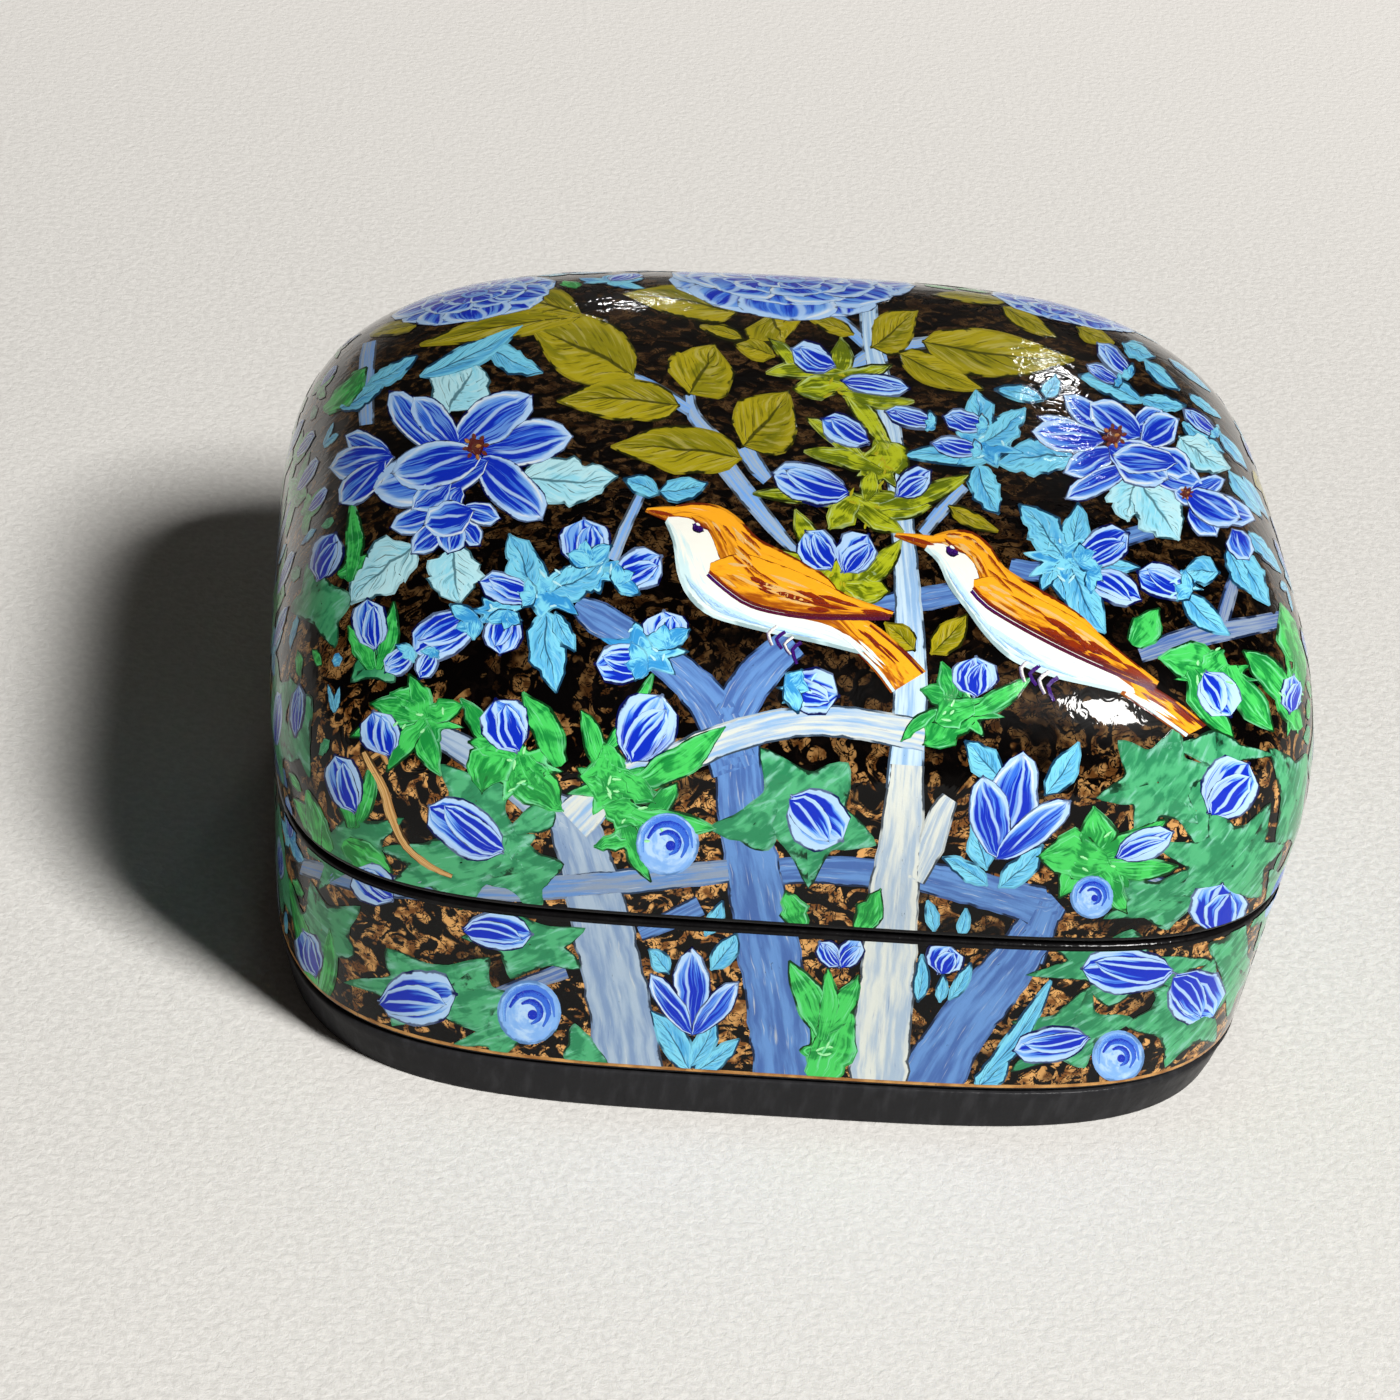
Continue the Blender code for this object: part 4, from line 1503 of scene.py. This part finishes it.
def bird(plan):
    """A perched bird in profile: pale below, orange above, with a dark-tipped wing."""
    beak = np.array(plan["beak"], float)
    along = np.array(plan["tail"], float) - beak
    above = np.array([along[1], -along[0]])
    length = np.linalg.norm(along)
    pick = random.Random(int(beak[0]))

    def spot(x, y):
        return tuple(beak + along * x + above * y)

    def line(name, lift=0.0):
        return [spot(x, y + lift) for x, y in plan[name]]

    def within(upper, lower, share, across):
        """A spot between two of the plan's lines."""
        spots = []
        for knots in (np.array(plan[upper]), np.array(plan[lower])):
            steps = np.linspace(0, 1, len(knots))
            spots.append(np.array([np.interp(share, steps, axis) for axis in knots.T]))
        return spot(*blend(spots[0], spots[1], across))

    def dab(start, stop, width, light, dark, coats, **shape):
        blade(TOUCHES, PHOTO, start, stop, length * width, light, dark, coats, **shape)

    def thread(spots, width, light, dark, coats, rim):
        knots = [(*place, length * width) for place in spots]
        limb(PHOTO, knots, light, dark, coats, film=TOUCHES, rim=rim)

    root = plan["back"][0]
    low_root = plan["belly"][0]
    beak_top = [spot(0.0, 0.004), spot(root[0] * 0.55, root[1] * 0.62), spot(*root)]
    beak_low = [spot(0.0, 0.0), spot(low_root[0] * 0.55, low_root[1] * 0.5), spot(*low_root)]
    feathered_strip(line("tail_top"), line("tail_low"), ORANGE, RUST, 8.5, rim=0.34)
    feathered_strip(line("parting"), line("belly"), CREAM, BELLY, 9.5, rim=0.34, columns=7)
    feathered_strip(line("back"), line("parting"), ORANGE, RUST, 10.2)
    feathered_strip(beak_top, beak_low, ORANGE, RUST, 10.5, rim=0.16, columns=3)
    feathered_strip(line("wing_top"), line("wing_low"), ORANGE, RUST, 11, rim=0.2)
    for upper, lower, count, ends, edges, reach, width, light, dark in BIRD_STROKES:
        for _ in range(count):
            share = pick.uniform(*ends)
            across = pick.uniform(*edges)
            start = within(upper, lower, share, across)
            stop = within(upper, lower, min(share + reach * pick.uniform(0.7, 1.3), 0.98), across)
            dab(start, stop, width, light, dark, 12, rim=0.0, fullness=0.7, wobble=0.2)
    thread(line("wing_low"), 0.009, RUST, RUST_DARK, 11.6, 0.02)
    thread(line("wing_low", -0.011), 0.009, PURPLE, RUST_DARK, 11.6, 0.02)
    thread(line("tail_low")[1:], 0.007, CREAM, BELLY, 11, 0.06)
    thread(line("tail_top")[1:], 0.007, RUST, RUST_DARK, 11, 0.0)
    x, y = plan["eye"]
    dab(spot(x - 0.018, y - 0.003), spot(x + 0.020, y - 0.003), 0.028, PURPLE, BLACK, 12, rim=0.09,
        fullness=0.5)
    dab(spot(x - 0.012, y + 0.004), spot(x + 0.004, y + 0.005), 0.008, CREAM, BELLY, 13, rim=0.0)
    dab(spot(x - 0.036, y + 0.014), spot(x + 0.040, y + 0.010), 0.009, RUST, BLACK, 12.5, rim=0.0,
        bend=0.06)
    dab(spot(root[0] * 1.2, (root[1] + low_root[1]) * 0.5), spot(0.005, 0.002), 0.012, RUST, RUST, 12,
        rim=0.0)
    x, y = plan["feet"]
    for index in range(4):
        start = spot(x - 0.02 + index * 0.03, y + 0.014)
        knee = spot(x - 0.030 + index * 0.03, y - 0.020)
        toe = spot(x + index * 0.032, y - pick.uniform(0.035, 0.055))
        knots = [(*start, length * 0.009), (*knee, length * 0.009), (*toe, length * 0.006)]
        limb(PHOTO, knots, PURPLE if index % 2 else CREAM, PURPLE, 12, film=TOUCHES, rim=0.05)


def paint_branches():
    """The branches, from the lowest to the highest."""
    blue = (TRUNK_BLUE, TRUNK_SHADE)
    pale = (TRUNK_WHITE, TRUNK_PALE)
    misty = (TRUNK_PALE, TRUNK_MIST)
    for knots in (LOW_BRANCH_MIDDLE, LOW_BRANCH_RIGHT, LOW_FORK_RIGHT, LOW_SPUR, CROSS_BRANCH,
                  CROSS_BRANCH_RIGHT):
        limb(PHOTO, knots, *blue, 1)
    for knots in (RIGHT_BRANCH, RIGHT_TWIG, BASE_TWIG, SEAM_TWIG):
        limb(PHOTO, knots, TRUNK_GREY, TRUNK_SHADE, 1.5)
    for knots in (LEFT_STEM, LONG_TWIG, RIGHT_FORK_TWIG, BUD_TWIG, LEAF_TWIG_ONE, LEAF_TWIG_TWO,
                  LEAF_TWIG_THREE, CROWN_TWIG, CROWN_TWIG_RIGHT, CROWN_CROSS):
        limb(PHOTO, knots, SKY_BLUE, TRUNK_PALE, 2)
    for knots in (GOLD_STRAND, GOLD_CURL):
        limb(PHOTO, [(x, y, width * 0.7) for x, y, width in knots], OCHRE_PALE, OCHRE, 6, rim=0.2)
    for knots, colours, coats in ((SLANTED_TRUNK, blue, 2), (BLUE_FORK_LEFT, blue, 2.5),
                                  (BLUE_FORK_RIGHT, blue, 2.5), (BLUE_TRUNK, blue, 2.5),
                                  (PALE_FORK_LEFT, misty, 3), (PALE_TRUNK, misty, 3),
                                  (LOW_BRANCH_LEFT, (TRUNK_GREY, TRUNK_BLUE), 4),
                                  (CENTRE_TRUNK_TOP, (TRUNK_SKY, TRUNK_DUSK), 3),
                                  (CENTRE_STUB, pale, 3.5), (CENTRE_TRUNK, pale, 4),
                                  (PALE_ARC, (TRUNK_WHITE, TRUNK_DUSK), 4.5)):
        limb(PHOTO, knots, *colours, coats)


# Length in pixels of a loose touch of the brush in a hub
HUB_TOUCH = 9


def hub(spot, length, height, light, dark, touch):
    """The patch where the leaves of a spray meet, with short loose touches of a brush."""
    outline = lobed_outline(spot, length * 1.1, height * 1.1, 0, 7, -1, spot[0])
    blob(SEPALS, PHOTO, outline, light, dark, 5.8)
    pick = random.Random(int(spot[0] * 3 + spot[1]))
    for _ in range(5):
        place = turned(spot, pick.uniform(0, 360), length * 0.7 * pick.uniform(0.2, 1.0), PHOTO.up)
        end = turned(place, pick.uniform(0, 360), HUB_TOUCH * pick.uniform(0.6, 1.4), PHOTO.up)
        blade(TOUCHES, PHOTO, place, end, HUB_TOUCH * 0.3, touch, light, 8.0, rim=0.0, wobble=0.2)


def paint_leaves():
    for index, (base, tip, width) in enumerate(OLIVE_LEAVES.values()):
        blade(OLIVE, PHOTO, base, tip, width * 0.94, OLIVE_LIGHT, OLIVE_DARK, 5 + 0.5 * (index % 2),
              bend=0.03, fullness=0.6, belly=0.42, point=1.7)
    for index, (base, tip, width, teeth) in enumerate(TURQUOISE_LEAVES.values()):
        pale = index < PALE_LEAVES
        blade(BLUE_LEAVES, PHOTO, base, tip, width * 1.1, PALE_TURQUOISE if pale else TURQUOISE,
              TURQUOISE if pale else DEEP_TURQUOISE, 5.5 + 0.5 * (index % 2), bend=0.04,
              fullness=0.65, belly=0.45, teeth=teeth, point=1.4, wobble=0.13)
    for index, (base, tip, width) in enumerate(YELLOW_LEAVES.values()):
        blade(SEPALS, PHOTO, base, tip, width * 1.15, YELLOW_GREEN, YELLOW_SHADE,
              6.2 + 0.25 * (index % 3), bend=0.05, fullness=0.6, belly=0.5, base_width=0.4, point=1.5,
              wobble=0.16)
    for index, (base, tip, width) in enumerate(GREEN_LEAVES.values()):
        blade(SEPALS, PHOTO, base, tip, width * 1.2, LEAF_GREEN, LEAF_SHADE, 6.2 + 0.25 * (index % 4),
              bend=0.05, fullness=0.6, belly=0.45, base_width=0.5, point=1.6, wobble=0.2)
    for index, (middle, length, height, tilt, lobes) in enumerate(SAGE_PATCHES.values()):
        outline = lobed_outline(middle, length * 1.2, height * 1.2, tilt, lobes, -1, index)
        blob(MASSES, PHOTO, outline, SAGE, SAGE_SHADE, 5 + 0.25 * (index % 3))
    for hubs, *colours in ((GREEN_HUBS, LEAF_GREEN, LEAF_SHADE, LEAF_PALE),
                           (TURQUOISE_HUBS, TURQUOISE, DEEP_TURQUOISE, PALE_TURQUOISE),
                           (YELLOW_HUBS, YELLOW_GREEN, YELLOW_SHADE, OLIVE_LIGHT)):
        for entry in hubs:
            hub(*entry, *colours)


def paint_flowers():
    for base, tip, width in TURQUOISE_BUDS.values():
        way = math.degrees(math.atan2(-(tip[1] - base[1]), tip[0] - base[0]))
        sepals(PHOTO, base, way, 3, 110, width * 0.62, width * 0.36, TURQUOISE, DEEP_TURQUOISE, 9.4)
        bud(PHOTO, base, tip, width)
    for base, tip, width in (*YELLOW_BUDS.values(), *FRONT_BUDS.values()):
        bud(PHOTO, base, tip, width, coats=8.4)
    for middle, radius in ROUND_BUDS.values():
        round_bud(PHOTO, middle, radius)
    for flower in (LEFT_BLOSSOM, LOWER_BLOSSOM, EDGE_BLOSSOM, RIGHT_BLOSSOM, SMALL_RIGHT_BLOSSOM,
                   TULIP, BASE_TULIP):
        for base, tip, width, coats in flower.values():
            # The steps between the petals are widened, so that no two lie at one height.
            blade(BLOSSOMS, PHOTO, base, tip, width, PALE_BLUE, DEEP_BLUE, blend(7, coats, 1.8),
                  fullness=0.45, belly=0.56, rim=0.14, point=1.2, wobble=0.12)
    for middle, size in HEARTS.values():
        heart(middle, size)
    for pixel, rise, radius, rings, turn in ROSETTES.values():
        rosette(tangent_canvas(pixel), (0, rise), radius, rings, turn)


# How close two motifs of a hedge may come, as a share of their reaches
CROWDING = 0.78


class Hedge:
    """Flowers and leaves for a side that the photograph hides, set where there is room."""

    def __init__(self, canvas, seed):
        self.canvas = canvas
        self.pick = random.Random(seed)
        painted = np.concatenate([patch[::2] for film in FILMS for patch in film.points])
        self.painted = KDTree(len(painted))
        for index, point in enumerate(painted):
            self.painted.insert(point, index)
        self.painted.balance()
        self.middles = np.empty((0, 3))
        self.reaches = np.empty(0)

    def free(self, point, reach, share):
        """Whether a motif fits: share tells how much of its reach stays off what is painted."""
        if self.painted.find(point)[2] < reach * share * MM:
            return False
        apart = np.linalg.norm(self.middles - point, axis=1)
        if (apart < (reach * MM + self.reaches) * CROWDING).any():
            return False
        self.middles = np.concatenate([self.middles, point[None]])
        self.reaches = np.append(self.reaches, reach * MM)
        return True

    def bud_in_green(self, x, y, size):
        heading = self.pick.uniform(40, 140)
        length = size * self.pick.uniform(1.05, 1.35)
        outline = lobed_outline((x, y), length, size * self.pick.uniform(0.9, 1.1), heading - 90,
                                self.pick.choice((4, 5, 6)), 1, self.pick.random())
        blob(MASSES, self.canvas, outline, SAGE, SAGE_SHADE, 5 + self.pick.choice((0, 0.3)))
        base = turned((x, y), heading + 180, size * 0.42)
        tip = turned((x, y), heading, size * 0.5)
        if self.pick.random() < 0.25:
            round_bud(self.canvas, (x, y), size * 0.44)
        else:
            bud(self.canvas, base, tip, size * 0.66)

    def bud_with_sepals(self, x, y, size):
        heading = self.pick.uniform(20, 160)
        base = turned((x, y), heading + 180, size * 0.3)
        tip = turned((x, y), heading, size * 0.75)
        green = self.pick.random() < 0.6
        light, dark = (LEAF_GREEN, LEAF_SHADE) if green else (TURQUOISE, DEEP_TURQUOISE)
        sepals(self.canvas, base, heading, 4, 190, size * 0.95, size * 0.38, light, dark, 6)
        sepals(self.canvas, base, heading + 180, 2, 90, size * 0.6, size * 0.34, light, dark, 6.3)
        bud(self.canvas, base, tip, size * 0.66, coats=7.8)

    def leaf_pair(self, x, y, size):
        heading = self.pick.uniform(0, 180)
        olive = self.pick.random() < 0.45
        base = turned((x, y), heading + 180, size * 0.4)
        for side in (-1, 1):
            tip = turned((x, y), heading + side * 38, size)
            if olive:
                blade(OLIVE, self.canvas, base, tip, size * 0.6, OLIVE_LIGHT, OLIVE_DARK,
                      5 + side * 0.3, point=1.6)
            else:
                blade(BLUE_LEAVES, self.canvas, base, tip, size * 0.55, TURQUOISE, DEEP_TURQUOISE,
                      5.5 + side * 0.3, teeth=4, wobble=0.13)

    def small_leaf(self, x, y, size):
        heading = self.pick.uniform(0, 360)
        base = turned((x, y), heading + 180, size)
        tip = turned((x, y), heading, size)
        greens = ((LEAF_GREEN, LEAF_SHADE), (TURQUOISE, DEEP_TURQUOISE), (SAGE, SAGE_SHADE))
        blade(SEPALS, self.canvas, base, tip, size * 0.9, *self.pick.choice(greens), 5, fullness=0.6,
              point=1.5, wobble=0.2)

    def fill(self, half_span, low, high, level=37.0):
        """From the largest motif to the smallest; the buds in green stay below a level."""
        for draw, size, tries, share in ((self.bud_in_green, 6.4, 260, 0.5),
                                         (self.bud_with_sepals, 4.6, 500, 0.62),
                                         (self.leaf_pair, 4.4, 500, 0.62), (self.leaf_pair, 3.0, 700, 0.66),
                                         (self.small_leaf, 1.7, 1600, 0.8)):
            top = min(high, level) if draw == self.bud_in_green else high
            if top <= low:
                continue
            spots = [(self.pick.uniform(-half_span, half_span), self.pick.uniform(low, top))
                     for _ in range(tries)]
            for spot, point in zip(spots, self.canvas.place(np.array(spots))):
                if self.free(point, size, share):
                    draw(*spot, size)


# Trunks of the hidden sides: knots of (right, up, width) in mm from the side's middle
SIDE_TRUNKS = (
    ((-22.0, 5.0, 6.0), (-20.5, 14.0, 5.2), (-18.0, 23.0, 4.6), (-15.0, 31.0, 3.4), (-12.5, 37.0, 1.0)),
    ((1.0, 5.0, 5.4), (0.0, 14.0, 5.0), (1.5, 24.0, 4.0), (0.5, 33.0, 3.0), (2.0, 42.0, 0.9)),
    ((20.0, 5.0, 5.6), (21.5, 14.0, 4.8), (24.0, 23.0, 4.0), (22.0, 31.0, 3.0), (18.0, 37.0, 0.9)),
)

# Their branches
SIDE_BRANCHES = (
    ((-36.0, 27.0, 1.6), (-27.0, 25.0, 2.2), (-18.0, 25.5, 2.4)),
    ((-17.0, 30.0, 2.6), (-9.0, 33.0, 2.4), (1.0, 31.5, 2.4), (11.0, 32.0, 2.2), (22.0, 29.0, 2.4)),
    ((0.5, 21.0, 2.2), (10.0, 18.5, 2.4), (21.0, 19.0, 2.4)),
    ((23.0, 25.0, 2.4), (29.0, 29.0, 2.0), (35.0, 30.0, 1.6)),
)

# Their rosettes, as (right, up, radius), and the half length that all of this is drawn for
SIDE_ROSETTES = ((-8.5, 41.0, 6.5), (13.0, 42.0, 6.0), (-27.0, 38.0, 5.5))
SIDE_HALF_SPAN = 40.0
SIDE_TRUNK_COLOURS = ((TRUNK_PALE, TRUNK_MIST), (TRUNK_BLUE, TRUNK_SHADE), (TRUNK_WHITE, TRUNK_PALE))


def paint_side(canvas, half_span, seed, mirrored):
    """A hidden side: three budding trunks with branches, and rosettes up high."""
    flip = -1 if mirrored else 1
    scale = half_span / SIDE_HALF_SPAN

    def grow(knots, light, dark, coats):
        limb(canvas, [(flip * scale * x, y, width) for x, y, width in knots], light, dark, coats)

    for knots in SIDE_BRANCHES:
        grow(knots, TRUNK_BLUE, TRUNK_SHADE, 1.5)
    for knots, colours in zip(SIDE_TRUNKS, SIDE_TRUNK_COLOURS):
        grow(knots, *colours, 2.5)
    hedge = Hedge(canvas, seed)
    for x, y, radius in SIDE_ROSETTES:
        middle = (x * flip * (scale if x < -20 else 1), y)
        if hedge.free(canvas.place(np.array([middle]))[0], radius, 1.1):
            for index in range(5):
                angle = index * 72 + 20
                base = turned(middle, angle, radius * 0.5)
                tip = turned(middle, angle, radius * 1.45)
                blade(BLUE_LEAVES, canvas, base, tip, radius * 0.55, TURQUOISE, DEEP_TURQUOISE, 5.5,
                      teeth=4)
            rosette(canvas, middle, radius, 3, hedge.pick.uniform(0, 40))
    for knots in SIDE_TRUNKS:
        x, y, _ = knots[-1]
        spot = (flip * scale * x, y - 1.5)
        sepals(canvas, spot, 90, 5, 230, 6.0, 2.6, LEAF_GREEN, LEAF_SHADE, 5.5)
        bud(canvas, spot, turned(spot, 90, 5.4), 3.8, coats=6.6)


def paint_hidden_sides():
    paint_side(REAR, 40.0, 3, False)
    paint_side(LEFT, 35.0, 5, True)
    paint_side(RIGHT, 35.0, 8, False)
    Hedge(TOP, 21).fill(40.0, 28.0, 39.0, level=28.0)
    for canvas, seed, half_span in ((REAR, 13, 46.0), (LEFT, 15, 42.0), (RIGHT, 18, 42.0)):
        Hedge(canvas, seed).fill(half_span, 7.5, 50.0)


def ring(half_length, half_width, power, height):
    """Evenly turned points of one outline of the box."""
    angles = np.arange(SHELL_SEGMENTS) * 2 * math.pi / SHELL_SEGMENTS
    c, s = np.cos(angles), np.sin(angles)
    reach = (np.abs(c) ** power + np.abs(s) ** power) ** (-1 / power)
    x = half_length * c * reach
    y = half_width * s * reach
    rise = max(0.0, (height - SEAM_HEIGHT) / (CROWN_HEIGHT - SEAM_HEIGHT))
    return np.stack([x, y, height + rise * CROWN_LEAN * x], 1)


def wall_ring(height, outline=None, inward=0.0):
    level = height if outline is None else outline
    inset = float(inset_at(level)) + inward
    return ring(HALF_LENGTH - inset, HALF_WIDTH - inset, float(plan_power(level)), height)


def dome_ring(angle):
    share = math.cos(angle) ** (2 / DOME_ACROSS_POWER)
    climb = math.sin(angle) ** (2 / DOME_UP_POWER)
    height = blend(WIDEST_HEIGHT, CROWN_HEIGHT, climb)
    return ring(HALF_LENGTH * share, HALF_WIDTH * share, float(plan_power(height)), height)


def inner(rings_of_points):
    return [points - normal_at(points) * WALL for points in rings_of_points]


def rounded(height, outline, way, radius=EDGE_ROUND):
    """Rings of a rounded edge, from its flat to its wall: way is 1 if it faces down, -1 if up."""
    turns = [math.pi / 2 * step / EDGE_STEPS for step in range(EDGE_STEPS + 1)]
    return [wall_ring(height + way * radius * (1 - math.cos(turn)), outline,
                      radius * (1 - math.sin(turn))) for turn in turns]


def add_object(name, data):
    thing = bpy.data.objects.new(name, data)
    bpy.context.scene.collection.objects.link(thing)
    return thing


def lathe(name, rings_of_points, materials, zones):
    """A closed skin through the rings, in order; zones gives the material of each band."""
    count = SHELL_SEGMENTS
    last = len(rings_of_points) - 1
    points = np.concatenate(rings_of_points).tolist()
    faces = []
    index_of = []
    for level in range(last):
        low, high = level * count, (level + 1) * count
        for step in range(count):
            after = (step + 1) % count
            faces.append((low + step, low + after, high + after, high + step))
            index_of.append(zones[level])
    for level, zone in ((0, zones[0]), (last, zones[-1])):
        points.append(rings_of_points[level].mean(0).tolist())
        for step in range(count):
            faces.append((level * count + step, level * count + (step + 1) % count, len(points) - 1))
            index_of.append(zone)
    mesh = bpy.data.meshes.new(name)
    mesh.from_pydata(points, [], faces)
    for material in materials:
        mesh.materials.append(material)
    mesh.polygons.foreach_set("material_index", index_of)
    bm = bmesh.new()
    bm.from_mesh(mesh)
    bmesh.ops.recalc_face_normals(bm, faces=bm.faces)
    bm.to_mesh(mesh)
    bm.free()
    mesh.shade_smooth()
    mesh.set_sharp_from_angle(angle=SHARP_ANGLE)
    return add_object(name, mesh)


def make_lid():
    mouth = LID_MOUTH + MOUTH_BAND
    start = LID_MOUTH + EDGE_ROUND
    # The black band above the mouth: partly the rim's black lacquer, partly painted shade of the groove at
    # the seam.
    edge = rounded(LID_MOUTH, mouth, 1, SEAM_ROUND) + [wall_ring(LID_MOUTH + SEAM_BLACK_AND_SHADE, mouth)]
    levels = [blend(start, WIDEST_HEIGHT, step / WALL_RINGS) for step in range(1, WALL_RINGS)]
    wall = [wall_ring(level, max(mouth, level)) for level in levels]
    flank = [dome_ring(angle) for angle in np.linspace(0, FLANK_END, FLANK_RINGS)]
    shares = np.linspace(CROWN_START, CROWN_END, CROWN_RINGS + 1)[1:]
    crown = [dome_ring(math.acos(share ** (DOME_ACROSS_POWER / 2))) for share in shares]
    outer = edge + wall + flank + crown
    lining = inner([wall_ring(LID_MOUTH, mouth)] + wall[2::5] + flank[::4] + crown[::8])
    lining[0][:, 2] = LID_MOUTH
    zones = [1] * (len(lining) + len(edge) - 1) + [0] * (len(outer) - len(edge))
    materials = (ground_paint("lid_ground", 0.1), LINING)
    lid = lathe("lid_lacquer_shell", lining[::-1] + outer, materials, zones)
    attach(lid, "lid")
    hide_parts("lid_shell")


def make_base():
    top = BASE_TOP - MOUTH_BAND
    floor = BASE_BOTTOM + WALL
    bottom = rounded(BASE_BOTTOM, BASE_BOTTOM, 1)
    levels = [PINSTRIPE_LOW, PINSTRIPE_HIGH]
    levels += [blend(PINSTRIPE_HIGH, top, step / WALL_RINGS) for step in range(1, WALL_RINGS + 1)]
    wall = [wall_ring(level) for level in levels]
    # The black band below the top: partly the rim's black lacquer, partly painted shade of the groove at
    # the seam.
    edge = [wall_ring(BASE_TOP - SEAM_BLACK_AND_SHADE, top)] + rounded(BASE_TOP, top, -1, SEAM_ROUND)[::-1]
    depths = [BASE_TOP, *LINING_DEPTHS, floor + FLOOR_CORNER]
    lining = inner([wall_ring(depth, min(depth, top)) for depth in depths])
    for points, depth in zip(lining, depths):
        points[:, 2] = depth
    lining.append(wall_ring(floor, floor, WALL + FLOOR_CORNER))
    # A narrow band round the floor keeps its shading flat.
    lining.append(wall_ring(floor, floor, WALL + FLOOR_CORNER + FLOOR_BAND))
    zones = [1] * len(bottom) + [2] + [0] * (len(wall) - 2) + [1] * (len(edge) + len(lining))
    materials = (ground_paint("base_ground", 1.0), LINING, gold_line_paint())
    base = lathe("base_lacquer_shell", bottom + wall + edge + lining, materials, zones)
    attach(base, "base")
    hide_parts("base_shell")


def make_foot():
    bottom = rounded(0.0, 0.0, 1)
    wall = [wall_ring(blend(EDGE_ROUND, FOOT_HEIGHT - EDGE_ROUND, step / 4)) for step in range(1, 4)]
    top = rounded(FOOT_HEIGHT, FOOT_HEIGHT, -1)[::-1]
    stack = bottom + wall + top
    satin = lacquer_black("foot_satin", linear(40, 40, 42), 0.5, 0.25)
    foot = lathe("foot_band", stack, (satin,), [0] * (len(stack) - 1))
    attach(foot, "base")
    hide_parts("foot_board")


def make_floor():
    """A pale, faintly fibrous floor, with painted light: it is made lighter further back."""
    mesh = bpy.data.meshes.new("floor")
    bm = bmesh.new()
    bmesh.ops.create_grid(bm, x_segments=8, y_segments=8, size=4.0)
    bm.to_mesh(mesh)
    bm.free()
    floor = add_object("floor", mesh)
    paper = Finish("floor_paper", 0.9, 0.0, 0.5)
    place = paper.place()
    _, y, _ = paper.split(place)
    grain = paper.noise(place, 1.2, 4.0, 0.4, 0.6)
    cloud = paper.noise(place, 0.012, 4.0, 0.5)
    paper.shade = paper.mix(grain.ease(0.35, 0.65) * 0.7, linear(232, 230, 226), linear(212, 210, 206))
    paper.over(cloud.ease(0.35, 0.65) * 0.3, linear(230, 228, 224))
    # Painted light: the floor turns lighter from 30 mm to 380 mm behind the middle.
    paper.over(y.ease(30.0, 380.0), linear(255, 252, 248))
    mesh.materials.append(paper.done(grain, 0.0003, 0.5))


# Lamps, aimed at the box's widest level: azimuth and elevation in degrees, distance, width and
# height in metres, power and colour
LAMPS = {
    "key": (38, 46, 2.2, 0.42, 0.50, 65.5, (1.0, 0.985, 0.96)),
    "far_window": (180, 17.4, 1.2, 0.05, 0.010, 0.1, (1, 1, 1)),
    "far_lamp": (166, 24.7, 1.2, 0.055, 0.028, 0.19, (1, 1, 1)),
}

# The world's colour, its strength at the horizon and up high, and the heights between them
WORLD_COLOUR = (1.0, 0.87, 0.76, 1.0)
HORIZON_STRENGTH = 0.23
SKY_STRENGTH = 0.025
HORIZON_TOP = 0.03
SKY_START = 0.13


def placed(right, up, back, place):
    """The matrix of an object from its axes and its place."""
    return Matrix([[column[i] for column in (right, up, back, place)] for i in range(3)]
                  + [[0, 0, 0, 1]])


def make_lamp(name, azimuth, elevation, distance, width, height, power, colour):
    """An upright lamp that faces the box."""
    light = bpy.data.lights.new(name, "AREA")
    light.shape = "RECTANGLE"
    light.size = width
    light.size_y = height
    light.energy = power
    light.color = colour
    azimuth, elevation = math.radians(azimuth), math.radians(elevation)
    level = math.cos(elevation)
    way = np.array([math.sin(azimuth) * level, -math.cos(azimuth) * level, math.sin(elevation)])
    side = np.cross([0, 0, 1.0], way)
    side /= np.linalg.norm(side)
    place = way * distance + np.array([0, 0, WIDEST_HEIGHT])
    add_object(name, light).matrix_world = placed(side, np.cross(way, side), way, place)


def light_the_scene():
    """A pale horizon under a dim sky, a key lamp at the front right and two small ones behind."""
    world = bpy.data.worlds.new("studio")
    world.use_nodes = True
    tree = world.node_tree
    background = tree.nodes["Background"]
    place = tree.nodes.new("ShaderNodeTexCoord")
    split = tree.nodes.new("ShaderNodeSeparateXYZ")
    tree.links.new(place.outputs["Generated"], split.inputs[0])
    height = Number(tree, split.outputs[2]).ease(HORIZON_TOP, SKY_START)
    strength = height * (SKY_STRENGTH - HORIZON_STRENGTH) + HORIZON_STRENGTH
    tree.links.new(strength.socket, background.inputs["Strength"])
    background.inputs["Color"].default_value = WORLD_COLOUR
    bpy.context.scene.world = world
    for name, lamp in LAMPS.items():
        make_lamp(name, *lamp)


def make_camera():
    camera = bpy.data.cameras.new("camera")
    camera.sensor_width = SENSOR
    camera.lens = FOCAL_PIXELS / PHOTO_SIDE * SENSOR
    camera.clip_start = 0.01
    camera.clip_end = 20.0
    thing = add_object("camera", camera)
    thing.matrix_world = placed(CAMERA_RIGHT, CAMERA_UP, CAMERA_BACK, CAMERA_PLACE)
    bpy.context.scene.camera = thing


LINING = lacquer_black("lining_black", linear(12, 11, 12), 0.35, 0.9, coat_roughness=0.06)
COLLAR = lacquer_black("collar_black", linear(24, 22, 22), 0.4, 0.4)

make_lid()
make_base()
make_foot()
paint_branches()
paint_leaves()
paint_flowers()
bird(FIRST_BIRD)
bird(SECOND_BIRD)
paint_hidden_sides()
for film in FILMS:
    film.build()
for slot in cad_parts["lid_collar"].material_slots:
    slot.material = COLLAR

make_floor()
light_the_scene()
make_camera()
bpy.context.scene.view_settings.view_transform = "Standard"
